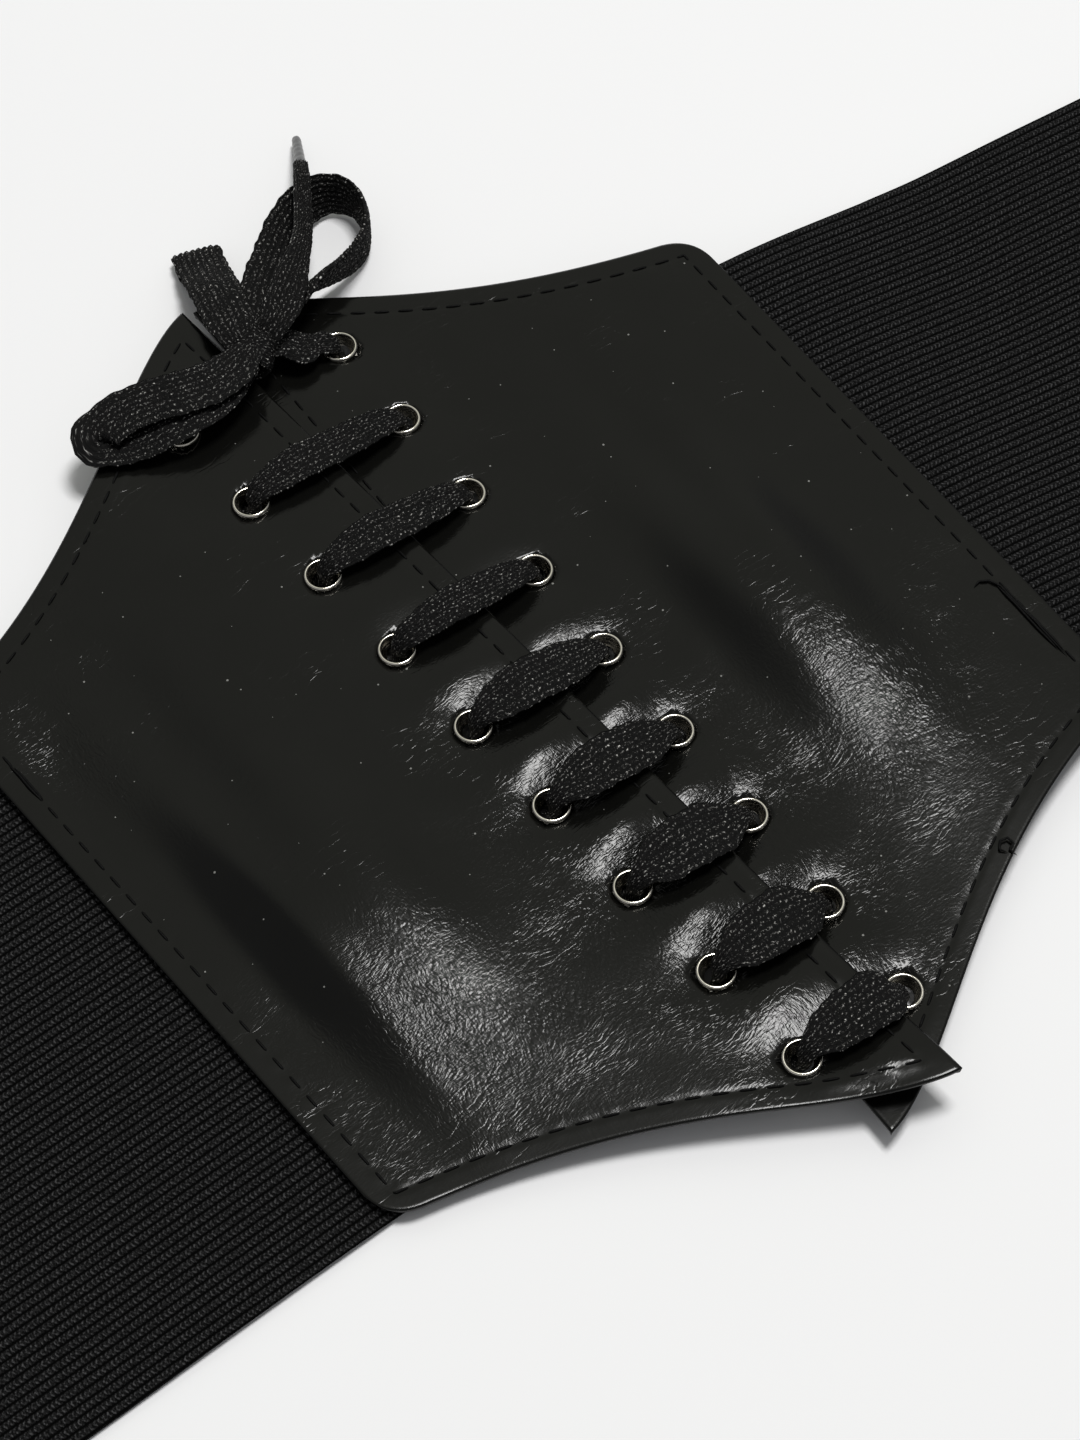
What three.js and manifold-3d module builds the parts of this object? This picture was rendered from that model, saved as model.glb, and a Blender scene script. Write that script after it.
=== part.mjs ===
import * as THREE from 'three';
import { mergeVertices } from 'three/addons/utils/BufferGeometryUtils.js';
import Module from 'manifold-3d';

// Lace-up corset waist belt, lying open and flat, in millimetres.
// +X runs along the belt, +Y along the lacing towards the bow, +Z up.
// Places on a panel are given as (out, up): out from its laced edge, up from its mid height.

const wasm = await Module();
wasm.setup();

// Clearance between pieces that touch on the real belt
const SEAT = 0.3;

// Height of the tools that cut outlines and holes
const CUT_HEIGHT = 40;

// Front panels
const CENTRE_HEIGHT = 210;
const SIDE_HEIGHT = 127;
const PANEL_WIDTH = 86;
const PANEL_WALL = 1.8;
const CORNER_RADIUS = 7;
const SPLAY = THREE.MathUtils.degToRad(2.3);
const EDGE_LAP = 3.1;

// The long edges fall from the centre height to the side height in a soft S
const EDGE_FALL_REACH = 53;
const EDGE_FALL_POWER = 1.46;

// Eyelets and their rows
const ROWS = 9;
const ROW_PITCH = 21;
const TOP_ROW_UP = 81.8;
const EYELET_INSET = 17.6;
const HOLE_RADIUS = 2.5;
const BARREL_WALL = 0.35;
const FLANGE_RADIUS = 3.5;
const FLANGE_RISE = 0.85;
const BACK_ROLL_RADIUS = 3.5;
const BACK_ROLL = 0.6;
const EYELET_SIDES = 10;

// Leather surface: the laced strip is level out to STRIP_END and the side seam begins at SEAM_START,
// and a swell eases in and out between them
const STRIP_END = EYELET_INSET + 6;
const SEAM_START = PANEL_WIDTH - 10;
const SWELL_EASE = 12;
const CORNER_OUT = 14;
const CORNER_UP = 18;

// Grid of the leather slab: steps along each row's pitch and across the fill, half the flat cell round an
// eyelet, and how far the slab reaches past the outline that trims it
const STEPS_PER_ROW = 3;
const FILL_STEPS = 8;
const FLAT_HALF = 4;
const SLAB_MARGIN = 1;
const EDGE_STEPS = 14;

// Elastic, and how far its centre line is below the panel's mid height
const ELASTIC_WALL = 1.5;
const ELASTIC_WIDTH = 120;
const ELASTIC_REACH = 250;
const ELASTIC_TUCK = 9;
const ELASTIC_DROP = 3.3;
const HEM_LENGTH = 18;
const HEM_RAMP = 8;
const LIFT_REACH = 45;
const LIFT_STEPS = 5;

// Hook plate and the buttonhole it goes into
const HOOK_WALL = 1.2;
const HOOK_WIDTH = 40;
const HOOK_SEAT = 10;
const HOOK_TONGUE = 14;
const HOOK_LIP = 7;
const HOOK_GAP = 1.2;
const SLIT_WIDTH = 2.4;
const SLIT_EASE = 2;

// Flat lace: its full width and thickness, and what it is squeezed to in an eyelet
const LACE_WIDTH = 9.6;
const LACE_WALL = 1.6;
const HOLE_LACE_WIDTH = 3.2;
const HOLE_LACE_WALL = 2;
const HOLE_LACE_SHIFT = 0.6;
const RUN_WIDTH = 5.5;
const RUN_WALL = 1.3;
const RUN_BOW = 6;
const RUN_SHARES = [0.25, 0.5, 0.75];

// Where the lace comes over an eyelet's rim: how far from its middle, how high over the leather and how wide,
// and how much farther it has opened to nearly its full width
const LIP_REACH = 2.4;
const LIP_HEIGHT = 2.55;
const LIP_WIDTH = 5;
const LACE_EASE = 3.2;
const STRAND_START = 4;

// Aglets
const AGLET_RADIUS = 1;
const AGLET_SIDES = 8;

// What differs between the two panels: how high the laced strip lies, how far its top end dips and its bottom
// corner lifts, how far the side seam is off the ground, and the turn of its elastic
const LEFT = {
  name: 'left', sign: -1, stripTop: 7.6, topDip: 1, cornerLift: 2.5, sideLift: 0, elasticTurn: 0,
};
const RIGHT = {
  name: 'right', sign: 1, stripTop: 4.9, topDip: 0, cornerLift: 0, sideLift: 3.5, elasticTurn: -6.3,
};

// Swells and hollows of the leather: place as shares of the panel's width and half height,
// spread as shares of the same, and rise in millimetres
const SWELLS = {
  left: [{ out: 0.68, up: -0.12, spreadOut: 0.21, spreadUp: 0.31, rise: 4.5 }],
  right: [{ out: 0.57, up: -0.1, spreadOut: 0.14, spreadUp: 0.31, rise: 4.3 }],
};

// The leather is drawn down a little at each eyelet and rises between them
const PUCKER = 0.5;
const PUCKER_SPREAD = 8;

// Width of each crossing of the lace as a share of its full width, from the second row down,
// with how much thicker it is where it is folded along its length
const CROSSINGS = [
  { width: 0.78, plump: 1.35 },
  { width: 0.8, plump: 1.3 },
  { width: 0.74, plump: 1.4 },
  { width: 0.95, plump: 1.1 },
  { width: 1, plump: 1 },
  { width: 1.1, plump: 1 },
  { width: 1.1, plump: 1 },
  { width: 1, plump: 1.05 },
];
const CROSSING_CROWN = 0.9;

// The lace's way through the eyelets, from the left end of the bow to the right one. Every crossing lies on
// top. Every run between rows lies underneath, bowed to one side (1 outwards, -1 inwards) past a skipped row.
const ROUTE = [
  { side: LEFT, row: 1 },
  { side: LEFT, row: 2, bow: 0 },
  { side: RIGHT, row: 2 },
  { side: RIGHT, row: 4, bow: 1 },
  { side: LEFT, row: 4 },
  { side: LEFT, row: 6, bow: 1 },
  { side: RIGHT, row: 6 },
  { side: RIGHT, row: 8, bow: 1 },
  { side: LEFT, row: 8 },
  { side: LEFT, row: 9, bow: 0 },
  { side: RIGHT, row: 9 },
  { side: RIGHT, row: 7, bow: -1 },
  { side: LEFT, row: 7 },
  { side: LEFT, row: 5, bow: -1 },
  { side: RIGHT, row: 5 },
  { side: RIGHT, row: 3, bow: -1 },
  { side: LEFT, row: 3 },
  { side: RIGHT, row: 1, bow: 0 },
];

// Routes of the bow's free stretches, chosen by hand from the knot outwards: place, lean of the flat lace
// (0 lies flat, 90 stands on its edge), width and thickness
const BOW = {
  strand_left: [
    { x: -13.5, y: 82.1, z: 10.2, lean: 0, width: 5, wall: 2 },
    { x: -9.5, y: 82.6, z: 10.4, lean: 0, width: 7, wall: 1.8 },
    { x: -5.5, y: 83.7, z: 10.5, lean: 0, width: 6.5, wall: 1.8 },
    { x: -2.6, y: 84.7, z: 10.4, lean: 0, width: 5, wall: 2 },
  ],
  strand_right: [
    { x: 13.6, y: 82.5, z: 7.5, lean: 0, width: 5, wall: 2 },
    { x: 11.4, y: 83.0, z: 7.9, lean: 0, width: 7.5, wall: 2 },
    { x: 9.4, y: 83.8, z: 9.1, lean: 0, width: 7.5, wall: 2 },
    { x: 7.5, y: 84.8, z: 10.0, lean: 0, width: 5.5, wall: 2.2 },
  ],
  loop_upper: [
    { x: 6.2, y: 90.2, z: 9.6, lean: 8, width: 6, wall: 1.6 },
    { x: 9.2, y: 93.7, z: 8.8, lean: 12, width: 8.5, wall: 1.6 },
    { x: 13.6, y: 98.5, z: 7.9, lean: 20, width: 9.6, wall: 1.6 },
    { x: 19.9, y: 104.4, z: 6.1, lean: 33, width: 9.6, wall: 1.6 },
    { x: 27.0, y: 110.4, z: 5.4, lean: 50, width: 9.6, wall: 1.6 },
    { x: 33.4, y: 113.4, z: 5.4, lean: 68, width: 9.6, wall: 1.6 },
    { x: 38.4, y: 112.4, z: 5.4, lean: 80, width: 9.6, wall: 1.6 },
    { x: 40.9, y: 108.4, z: 5.4, lean: 88, width: 9.6, wall: 1.6 },
    { x: 39.8, y: 102.8, z: 5.4, lean: 90, width: 9.6, wall: 1.6 },
    { x: 36.6, y: 98.6, z: 5.4, lean: 88, width: 9.6, wall: 1.6 },
    { x: 32.2, y: 96.4, z: 5.9, lean: 82, width: 9.6, wall: 1.6 },
    { x: 26.8, y: 94.8, z: 7.4, lean: 70, width: 9.6, wall: 1.6 },
    { x: 20.4, y: 92.9, z: 9.9, lean: 58, width: 9.0, wall: 1.6 },
    { x: 14.4, y: 90.5, z: 10.6, lean: 42, width: 7, wall: 1.6 },
    { x: 9.6, y: 88.2, z: 11.2, lean: 35, width: 5.5, wall: 1.6 },
  ],
  tail_upper: [
    { x: 7.6, y: 86.6, z: 14.2, lean: 10, width: 5.5, wall: 1.8 },
    { x: 10.6, y: 88.4, z: 15.0, lean: 15, width: 7, wall: 1.8 },
    { x: 15.4, y: 92.0, z: 15.4, lean: 25, width: 6.5, wall: 1.8 },
    { x: 20.8, y: 97.2, z: 14.0, lean: 40, width: 5, wall: 1.8 },
    { x: 25.6, y: 102.6, z: 12.4, lean: 40, width: 4, wall: 2 },
    { x: 29.6, y: 108.2, z: 12.4, lean: 30, width: 3.6, wall: 2 },
    { x: 33.2, y: 113.6, z: 12.2, lean: 20, width: 3.2, wall: 2.2 },
    { x: 36.4, y: 118.8, z: 9.4, lean: 10, width: 2.8, wall: 2.2 },
  ],
  tail_folded: [
    { x: 1.5, y: 90.0, z: 12.6, lean: 0, width: 7, wall: 1.6 },
    { x: 2.6, y: 93.6, z: 12.4, lean: 0, width: 9.2, wall: 1.6 },
    { x: 4.0, y: 98.6, z: 11.8, lean: 0, width: 9.4, wall: 1.6 },
    { x: 5.6, y: 104.0, z: 10.0, lean: 0, width: 9.4, wall: 1.6 },
    { x: 7.4, y: 109.0, z: 7.0, lean: 0, width: 9.4, wall: 1.6 },
    { x: 9.2, y: 114.0, z: 4.2, lean: 0, width: 9.4, wall: 1.6 },
    { x: 10.6, y: 117.6, z: 2.9, lean: 0, width: 9.4, wall: 1.6 },
    { x: 11.0, y: 118.8, z: 1.9, lean: 0, width: 9.4, wall: 1.4 },
    { x: 10.4, y: 117.0, z: 1.1, lean: 0, width: 9.4, wall: 1.4 },
    { x: 8.8, y: 112.8, z: 1.7, lean: 0, width: 8.5, wall: 1.4 },
    { x: 7.2, y: 108.6, z: 4.4, lean: 0, width: 6.5, wall: 1.6 },
  ],
  loop_lower: [
    { x: -0.8, y: 84.0, z: 14.2, lean: 0, width: 6.5, wall: 1.6 },
    { x: -4.5, y: 82.4, z: 14.8, lean: 0, width: 8.5, wall: 1.6 },
    { x: -9.5, y: 82.0, z: 15.0, lean: 0, width: 9.4, wall: 1.6 },
    { x: -14.5, y: 83.4, z: 14.8, lean: 0, width: 9.6, wall: 1.6 },
    { x: -20.0, y: 86.2, z: 13.6, lean: 0, width: 9.6, wall: 1.6 },
    { x: -25.6, y: 88.0, z: 12.4, lean: 0, width: 9.6, wall: 1.6 },
    { x: -30.2, y: 88.0, z: 11.2, lean: 0, width: 9.6, wall: 1.6 },
    { x: -31.8, y: 87.2, z: 10.1, lean: 0, width: 9.6, wall: 1.4 },
    { x: -30.0, y: 85.8, z: 9.1, lean: 0, width: 9.6, wall: 1.4 },
    { x: -25.6, y: 83.2, z: 9.6, lean: 0, width: 9.6, wall: 1.5 },
    { x: -20.4, y: 81.0, z: 11.6, lean: 0, width: 9.2, wall: 1.5 },
    { x: -15.0, y: 79.8, z: 12.8, lean: 0, width: 8.5, wall: 1.5 },
    { x: -9.8, y: 79.8, z: 12.7, lean: 0, width: 7.5, wall: 1.5 },
    { x: -5.4, y: 81.0, z: 12.6, lean: 0, width: 6, wall: 1.4 },
  ],
};

// Each aglet goes on from the end of its tail: its far end
const AGLET_TIPS = {
  aglet_upper: { tail: 'tail_upper', x: 43.4, y: 131.0, z: 1.5 },
  aglet_folded: { tail: 'tail_folded', x: 3.2, y: 95.8, z: 9.5 },
};

// The knot is a rounded lump where the strands, loops and tails meet
const KNOT = { x: 2.6, y: 86.4, z: 10.6, halfX: 4, halfY: 3, halfZ: 2.9 };

// Section of the flat lace, in shares of its width and thickness
const LACE_SECTION = [
  [0.5, 0], [0.36, 0.44], [0, 0.5], [-0.36, 0.44], [-0.5, 0], [-0.36, -0.44], [0, -0.5], [0.36, -0.44],
];

const upAxis = new THREE.Vector3(0, 0, 1);

function smoothStep(value, low, high) {
  const t = THREE.MathUtils.clamp((value - low) / (high - low), 0, 1);
  return t * t * (3 - 2 * t);
}

// Turns a closed geometry's faces outwards if they all point in
function outward(geometry) {
  const place = geometry.attributes.position;
  const index = geometry.index.array;
  const a = new THREE.Vector3();
  const b = new THREE.Vector3();
  const c = new THREE.Vector3();
  let volume = 0;
  for (let i = 0; i < index.length; i += 3) {
    a.fromBufferAttribute(place, index[i]);
    b.fromBufferAttribute(place, index[i + 1]);
    c.fromBufferAttribute(place, index[i + 2]);
    volume += a.dot(b.cross(c));
  }
  if (volume < 0) {
    for (let i = 0; i < index.length; i += 3) {
      [index[i + 1], index[i + 2]] = [index[i + 2], index[i + 1]];
    }
  }
  return geometry;
}

function merged(geometry) {
  geometry.deleteAttribute('normal');
  geometry.deleteAttribute('uv');
  return outward(mergeVertices(geometry, 1e-4));
}

function toSolid(geometry) {
  const closed = merged(geometry);
  return new wasm.Manifold(new wasm.Mesh({
    numProp: 3,
    vertProperties: new Float32Array(closed.attributes.position.array),
    triVerts: new Uint32Array(closed.index.array),
  }));
}

function fromSolid(solid) {
  const mesh = solid.getMesh();
  const geometry = new THREE.BufferGeometry();
  geometry.setAttribute('position', new THREE.BufferAttribute(mesh.vertProperties.slice(), 3));
  geometry.setIndex(new THREE.BufferAttribute(mesh.triVerts.slice(), 1));
  return geometry;
}

function extruded(shape, depth, curveSegments = 4) {
  return new THREE.ExtrudeGeometry(shape, { depth, bevelEnabled: false, curveSegments });
}

// Closed solid from rings of points with the same count. Each end is closed by a fan, or for a slab, whose
// rings run along its top and back along its bottom, by a ladder between the two lines.
function ringSolid(rings, slab = false) {
  const count = rings[0].length;
  const last = (rings.length - 1) * count;
  const faces = [];
  for (let r = 0; r + 1 < rings.length; r += 1) {
    for (let i = 0; i < count; i += 1) {
      const a = r * count + i;
      const b = r * count + (i + 1) % count;
      faces.push(a, b, b + count, a, b + count, a + count);
    }
  }
  if (slab) {
    for (let i = 0; i + 1 < count / 2; i += 1) {
      const j = count - 1 - i;
      faces.push(i, j, i + 1, i + 1, j, j - 1);
      faces.push(last + i, last + i + 1, last + j, last + i + 1, last + j - 1, last + j);
    }
  } else {
    for (let i = 1; i + 1 < count; i += 1) {
      faces.push(0, i + 1, i);
      faces.push(last, last + i, last + i + 1);
    }
  }
  const geometry = new THREE.BufferGeometry().setFromPoints(rings.flat());
  geometry.setIndex(faces);
  return outward(geometry);
}

// Fall of a panel's long edge below its centre height, at a distance out from the laced edge
function edgeFall(out) {
  const share = (distance) => 1 - Math.exp(-((distance / EDGE_FALL_REACH) ** EDGE_FALL_POWER));
  return (CENTRE_HEIGHT - SIDE_HEIGHT) / 2 * share(Math.max(out, 0)) / share(PANEL_WIDTH);
}

function rowUp(row) {
  return TOP_ROW_UP - (row - 1) * ROW_PITCH;
}

// Height of the leather's top face over the ground
function leatherTop(side, out, up) {
  const halfHeight = CENTRE_HEIGHT / 2;
  const dip = side.topDip * smoothStep(up, halfHeight * 0.76, halfHeight);
  const fromCorner = (out / CORNER_OUT) ** 2 + ((up + halfHeight) / CORNER_UP) ** 2;
  const corner = side.cornerLift * Math.exp(-fromCorner);
  const strip = side.stripTop - dip + corner;
  const seam = ELASTIC_WALL + SEAT + PANEL_WALL + side.sideLift;
  let height = strip + (seam - strip) * smoothStep(out, STRIP_END, SEAM_START);
  const open = smoothStep(out, STRIP_END, STRIP_END + SWELL_EASE)
    * (1 - smoothStep(out, SEAM_START - SWELL_EASE, SEAM_START));
  for (const swell of SWELLS[side.name]) {
    const outShare = Math.abs(out / PANEL_WIDTH - swell.out) / swell.spreadOut;
    const upShare = (up / halfHeight - swell.up) / swell.spreadUp;
    height += open * swell.rise * Math.exp(-(outShare ** 3) - (upShare ** 2));
  }
  const rows = smoothStep(up, rowUp(ROWS) - ROW_PITCH, rowUp(ROWS))
    * (1 - smoothStep(up, rowUp(1), rowUp(1) + ROW_PITCH));
  const between = -Math.cos(2 * Math.PI * (up - rowUp(1)) / ROW_PITCH);
  height += PUCKER * rows * between * Math.exp(-(((out - EYELET_INSET) / PUCKER_SPREAD) ** 2));
  return height;
}

// Place of a panel point in the belt's frame, and back
function onPanel(side, out, up, height) {
  const x = -EDGE_LAP + out * Math.cos(SPLAY) + up * Math.sin(SPLAY);
  const y = -out * Math.sin(SPLAY) + up * Math.cos(SPLAY);
  return new THREE.Vector3(side.sign * x, y, height);
}

function panelPlace(side, x, y) {
  const along = side.sign * x + EDGE_LAP;
  return {
    out: along * Math.cos(SPLAY) - y * Math.sin(SPLAY),
    up: along * Math.sin(SPLAY) + y * Math.cos(SPLAY),
  };
}

// Moves a geometry drawn in a panel's (out, up) plane to its place in the belt
function placeOnPanel(side, geometry) {
  const place = geometry.attributes.position;
  for (let i = 0; i < place.count; i += 1) {
    const point = onPanel(side, place.getX(i), place.getY(i), place.getZ(i));
    place.setXYZ(i, point.x, point.y, point.z);
  }
  return geometry;
}

function panelShape() {
  const half = CENTRE_HEIGHT / 2;
  const sideHalf = SIDE_HEIGHT / 2;
  const straight = PANEL_WIDTH - CORNER_RADIUS;
  const edge = (step) => half - edgeFall(straight * step / EDGE_STEPS);
  const shape = new THREE.Shape();
  shape.moveTo(0, -half);
  for (let i = 1; i <= EDGE_STEPS; i += 1) {
    shape.lineTo(straight * i / EDGE_STEPS, -edge(i));
  }
  shape.quadraticCurveTo(PANEL_WIDTH, -sideHalf, PANEL_WIDTH, -sideHalf + CORNER_RADIUS);
  shape.lineTo(PANEL_WIDTH, sideHalf - CORNER_RADIUS);
  shape.quadraticCurveTo(PANEL_WIDTH, sideHalf, straight, edge(EDGE_STEPS));
  for (let i = EDGE_STEPS - 1; i >= 0; i -= 1) {
    shape.lineTo(straight * i / EDGE_STEPS, edge(i));
  }
  shape.closePath();
  return shape;
}

// Wavy slab of leather, a little larger than the panel. Its grid has a flat cell round each eyelet.
function leatherSlab(side) {
  const columns = [-SLAB_MARGIN, (EYELET_INSET - FLAT_HALF) / 2, EYELET_INSET - FLAT_HALF];
  const fillStart = EYELET_INSET + FLAT_HALF;
  for (let i = 0; i <= FILL_STEPS; i += 1) {
    columns.push(fillStart + (SEAM_START - fillStart) * i / FILL_STEPS);
  }
  columns.push(PANEL_WIDTH + SLAB_MARGIN);
  const rowStep = ROW_PITCH / STEPS_PER_ROW;
  const reach = CENTRE_HEIGHT / 2 + SLAB_MARGIN;
  const stepsUp = Math.ceil((reach - rowUp(1)) / rowStep);
  const stepsDown = Math.ceil((reach + rowUp(1)) / rowStep);
  const ups = [];
  for (let i = stepsUp; i >= -stepsDown; i -= 1) {
    ups.push(rowUp(1) + (i + 0.5) * rowStep);
  }
  const rings = columns.map((out) => {
    const top = ups.map((up) => onPanel(side, out, up, leatherTop(side, out, up)));
    const bottom = top.map((point) => new THREE.Vector3(point.x, point.y, point.z - PANEL_WALL));
    return [...top, ...bottom.reverse()];
  });
  return ringSolid(rings, true);
}

function makePanel(side) {
  const outline = placeOnPanel(side, extruded(panelShape(), CUT_HEIGHT));
  let panel = toSolid(leatherSlab(side)).intersect(toSolid(outline));
  for (let row = 1; row <= ROWS; row += 1) {
    const radius = HOLE_RADIUS + BARREL_WALL + SEAT;
    const hole = new THREE.CylinderGeometry(radius, radius, CUT_HEIGHT, EYELET_SIDES);
    hole.rotateX(Math.PI / 2);
    const centre = onPanel(side, EYELET_INSET, rowUp(row), CUT_HEIGHT / 2);
    hole.translate(centre.x, centre.y, centre.z);
    panel = panel.subtract(toSolid(hole));
  }
  return fromSolid(panel);
}

// The flat cell of leather round an eyelet: the middle of its top face and the way it faces
function eyeletSeat(side, row) {
  const reachUp = ROW_PITCH / STEPS_PER_ROW / 2;
  const corner = (outSign, upSign) => {
    const out = EYELET_INSET + outSign * FLAT_HALF;
    const up = rowUp(row) + upSign * reachUp;
    return onPanel(side, out, up, leatherTop(side, out, up));
  };
  const first = corner(1, 1).sub(corner(-1, -1));
  const second = corner(1, -1).sub(corner(-1, 1));
  const facing = first.cross(second).normalize();
  if (facing.z < 0) {
    facing.negate();
  }
  const centre = corner(1, 1).add(corner(-1, -1)).add(corner(1, -1)).add(corner(-1, 1)).divideScalar(4);
  return { centre, facing };
}

function makeEyelet(side, row) {
  const below = -PANEL_WALL - SEAT;
  const barrel = HOLE_RADIUS + BARREL_WALL;
  const crest = (HOLE_RADIUS + FLANGE_RADIUS) / 2 + SEAT / 2;
  const profile = [
    [HOLE_RADIUS, below - BACK_ROLL],
    [BACK_ROLL_RADIUS, below - BACK_ROLL],
    [BACK_ROLL_RADIUS, below],
    [barrel, below],
    [barrel, SEAT],
    [FLANGE_RADIUS, SEAT],
    [crest, SEAT + FLANGE_RISE],
    [HOLE_RADIUS, SEAT + FLANGE_RISE / 2],
    [HOLE_RADIUS, below - BACK_ROLL],
  ].map(([radius, height]) => new THREE.Vector2(radius, height));
  const geometry = new THREE.LatheGeometry(profile, EYELET_SIDES);
  geometry.rotateX(Math.PI / 2);
  const seat = eyeletSeat(side, row);
  const turn = new THREE.Quaternion().setFromUnitVectors(upAxis, seat.facing);
  const place = new THREE.Matrix4().compose(seat.centre, turn, new THREE.Vector3(1, 1, 1));
  return merged(geometry.applyMatrix4(place));
}

// A lace from its stations: where it is, its way on, the direction of its width, its width and its thickness.
// The width's direction has no sign of its own, so each station takes the one nearer to the last station's.
function ribbon(stations) {
  let lastSide = null;
  const rings = stations.map((station) => {
    const side = station.side.clone().normalize();
    if (lastSide && side.dot(lastSide) < 0) {
      side.negate();
    }
    lastSide = side;
    const over = station.way.clone().cross(side).normalize();
    return LACE_SECTION.map(([across, high]) => station.at.clone()
      .addScaledVector(side, across * station.width)
      .addScaledVector(over, high * station.wall));
  });
  return ringSolid(rings);
}

const eyeletAt = (step) => eyeletSeat(step.side, step.row).centre;

function level(vector) {
  return new THREE.Vector3(vector.x, vector.y, 0).normalize();
}

// Height of the lace's middle where it runs under a panel
function runHeight(side) {
  const backRoll = side.stripTop - PUCKER / 2 - PANEL_WALL - SEAT - BACK_ROLL;
  return backRoll - SEAT - RUN_WALL / 2;
}

// Points of the run between two rows, under the panels, with the way it bows past a skipped row
function runPoints(from, to) {
  const start = eyeletAt(from);
  const end = eyeletAt(to);
  const outwards = new THREE.Vector3(to.side.sign * Math.cos(SPLAY), -Math.sin(SPLAY), 0);
  return RUN_SHARES.map((share) => {
    const point = start.clone().lerp(end, share);
    point.addScaledVector(outwards, to.bow * RUN_BOW * Math.sin(Math.PI * share));
    const nearRight = panelPlace(RIGHT, point.x, point.y).out > -RUN_WIDTH;
    point.z = runHeight(nearRight ? RIGHT : LEFT);
    return point;
  });
}

// Stations of the lace through one eyelet, from its top to its underside
function throughEyelet(step, topWay, lowWay) {
  const top = eyeletAt(step);
  const topSide = upAxis.clone().cross(topWay);
  const lowSide = upAxis.clone().cross(lowWay);
  if (topSide.dot(lowSide) < 0) {
    lowSide.negate();
  }
  const down = upAxis.clone().negate();
  const station = (offset, height, way, side, width, wall) => {
    const at = top.clone().add(offset);
    at.z = height;
    return { at, way, side, width, wall };
  };
  const inHole = topWay.clone().multiplyScalar(HOLE_LACE_SHIFT);
  const runStart = runHeight(step.side);
  const rollBottom = runStart + RUN_WALL / 2 + SEAT;
  return [
    station(
      topWay.clone().multiplyScalar(LIP_REACH), top.z + LIP_HEIGHT,
      topWay.clone().negate(), topSide, LIP_WIDTH, HOLE_LACE_WALL,
    ),
    station(
      inHole, top.z + SEAT + FLANGE_RISE * 0.6,
      down.clone().sub(topWay), topSide, HOLE_LACE_WIDTH, HOLE_LACE_WALL,
    ),
    station(
      inHole, (top.z + rollBottom) / 2,
      down, topSide.clone().add(lowSide), HOLE_LACE_WIDTH, HOLE_LACE_WALL,
    ),
    station(
      lowWay.clone().multiplyScalar(0.2), rollBottom - 0.3,
      down.clone().add(lowWay), lowSide, HOLE_LACE_WIDTH, HOLE_LACE_WALL,
    ),
    station(
      lowWay.clone().multiplyScalar(HOLE_RADIUS), runStart,
      lowWay, lowSide, (HOLE_LACE_WIDTH + RUN_WIDTH) / 2, RUN_WALL,
    ),
  ];
}

// Stations of the lace across the laced edges, from the left eyelet to the right one of the same row
function crossingStations(row, crossing) {
  const left = eyeletSeat(LEFT, row).centre;
  const right = eyeletSeat(RIGHT, row).centre;
  const span = left.distanceTo(right);
  const way = level(right.clone().sub(left));
  const side = upAxis.clone().cross(way);
  const width = LACE_WIDTH * crossing.width;
  const wall = LACE_WALL * crossing.plump;
  const edge = EYELET_INSET + SEAT;
  const overEdge = leatherTop(LEFT, 0, rowUp(row)) + 2 * SEAT + wall / 2;
  const stations = [];
  const add = (distance, height, share) => {
    const at = left.clone().addScaledVector(way, distance);
    at.z = height;
    stations.push({ at, way, side, width: width * share, wall });
  };
  const landing = right.z + LIP_HEIGHT;
  add(LIP_REACH + LACE_EASE, left.z + LIP_HEIGHT + CROSSING_CROWN / 2, 0.84);
  add(edge * 0.62, Math.max(left.z + LIP_HEIGHT, overEdge) + CROSSING_CROWN, 1);
  add(edge, Math.max(overEdge, landing) + CROSSING_CROWN / 3, 1);
  const rightEase = span - LIP_REACH - LACE_EASE;
  if (rightEase - edge > LACE_EASE / 2) {
    const share = (rightEase - edge) / (span - LIP_REACH - edge);
    add(rightEase, Math.max(landing, overEdge + (landing - overEdge) * share) + CROSSING_CROWN / 3, 0.84);
  }
  return stations;
}

function laceStations() {
  const stations = [];
  for (let i = 0; i < ROUTE.length; i += 1) {
    const step = ROUTE[i];
    const goesDown = i % 2 === 0;
    const topPartner = goesDown ? ROUTE[i - 1] : ROUTE[i + 1];
    const lowPoints = goesDown ? runPoints(step, ROUTE[i + 1]) : runPoints(ROUTE[i - 1], step);
    const here = eyeletAt(step);
    const topTarget = topPartner ? eyeletAt(topPartner) : new THREE.Vector3(KNOT.x, KNOT.y, 0);
    const topWay = level(topTarget.sub(here));
    const nearest = goesDown ? lowPoints[0] : lowPoints[lowPoints.length - 1];
    const lowWay = level(nearest.clone().sub(here));
    const through = throughEyelet(step, topWay, lowWay);
    if (!topPartner) {
      const lip = through[0];
      const at = lip.at.clone().addScaledVector(topWay, STRAND_START - LIP_REACH);
      at.z += SEAT / 2;
      through.unshift({ ...lip, at });
    }
    if (goesDown) {
      stations.push(...through);
      const points = [here, ...lowPoints, eyeletAt(ROUTE[i + 1])];
      for (let k = 1; k + 1 < points.length; k += 1) {
        const way = level(points[k + 1].clone().sub(points[k - 1]));
        const side = upAxis.clone().cross(way);
        stations.push({ at: points[k], way, side, width: RUN_WIDTH, wall: RUN_WALL });
      }
    } else {
      stations.push(...through.reverse().map((one) => ({ ...one, way: one.way.clone().negate() })));
      if (topPartner) {
        const crossing = crossingStations(step.row, CROSSINGS[step.row - 2]);
        if (step.side === RIGHT) {
          crossing.reverse();
          for (const one of crossing) {
            one.way = one.way.clone().negate();
          }
        }
        stations.push(...crossing);
      }
    }
  }
  return stations;
}

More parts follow.
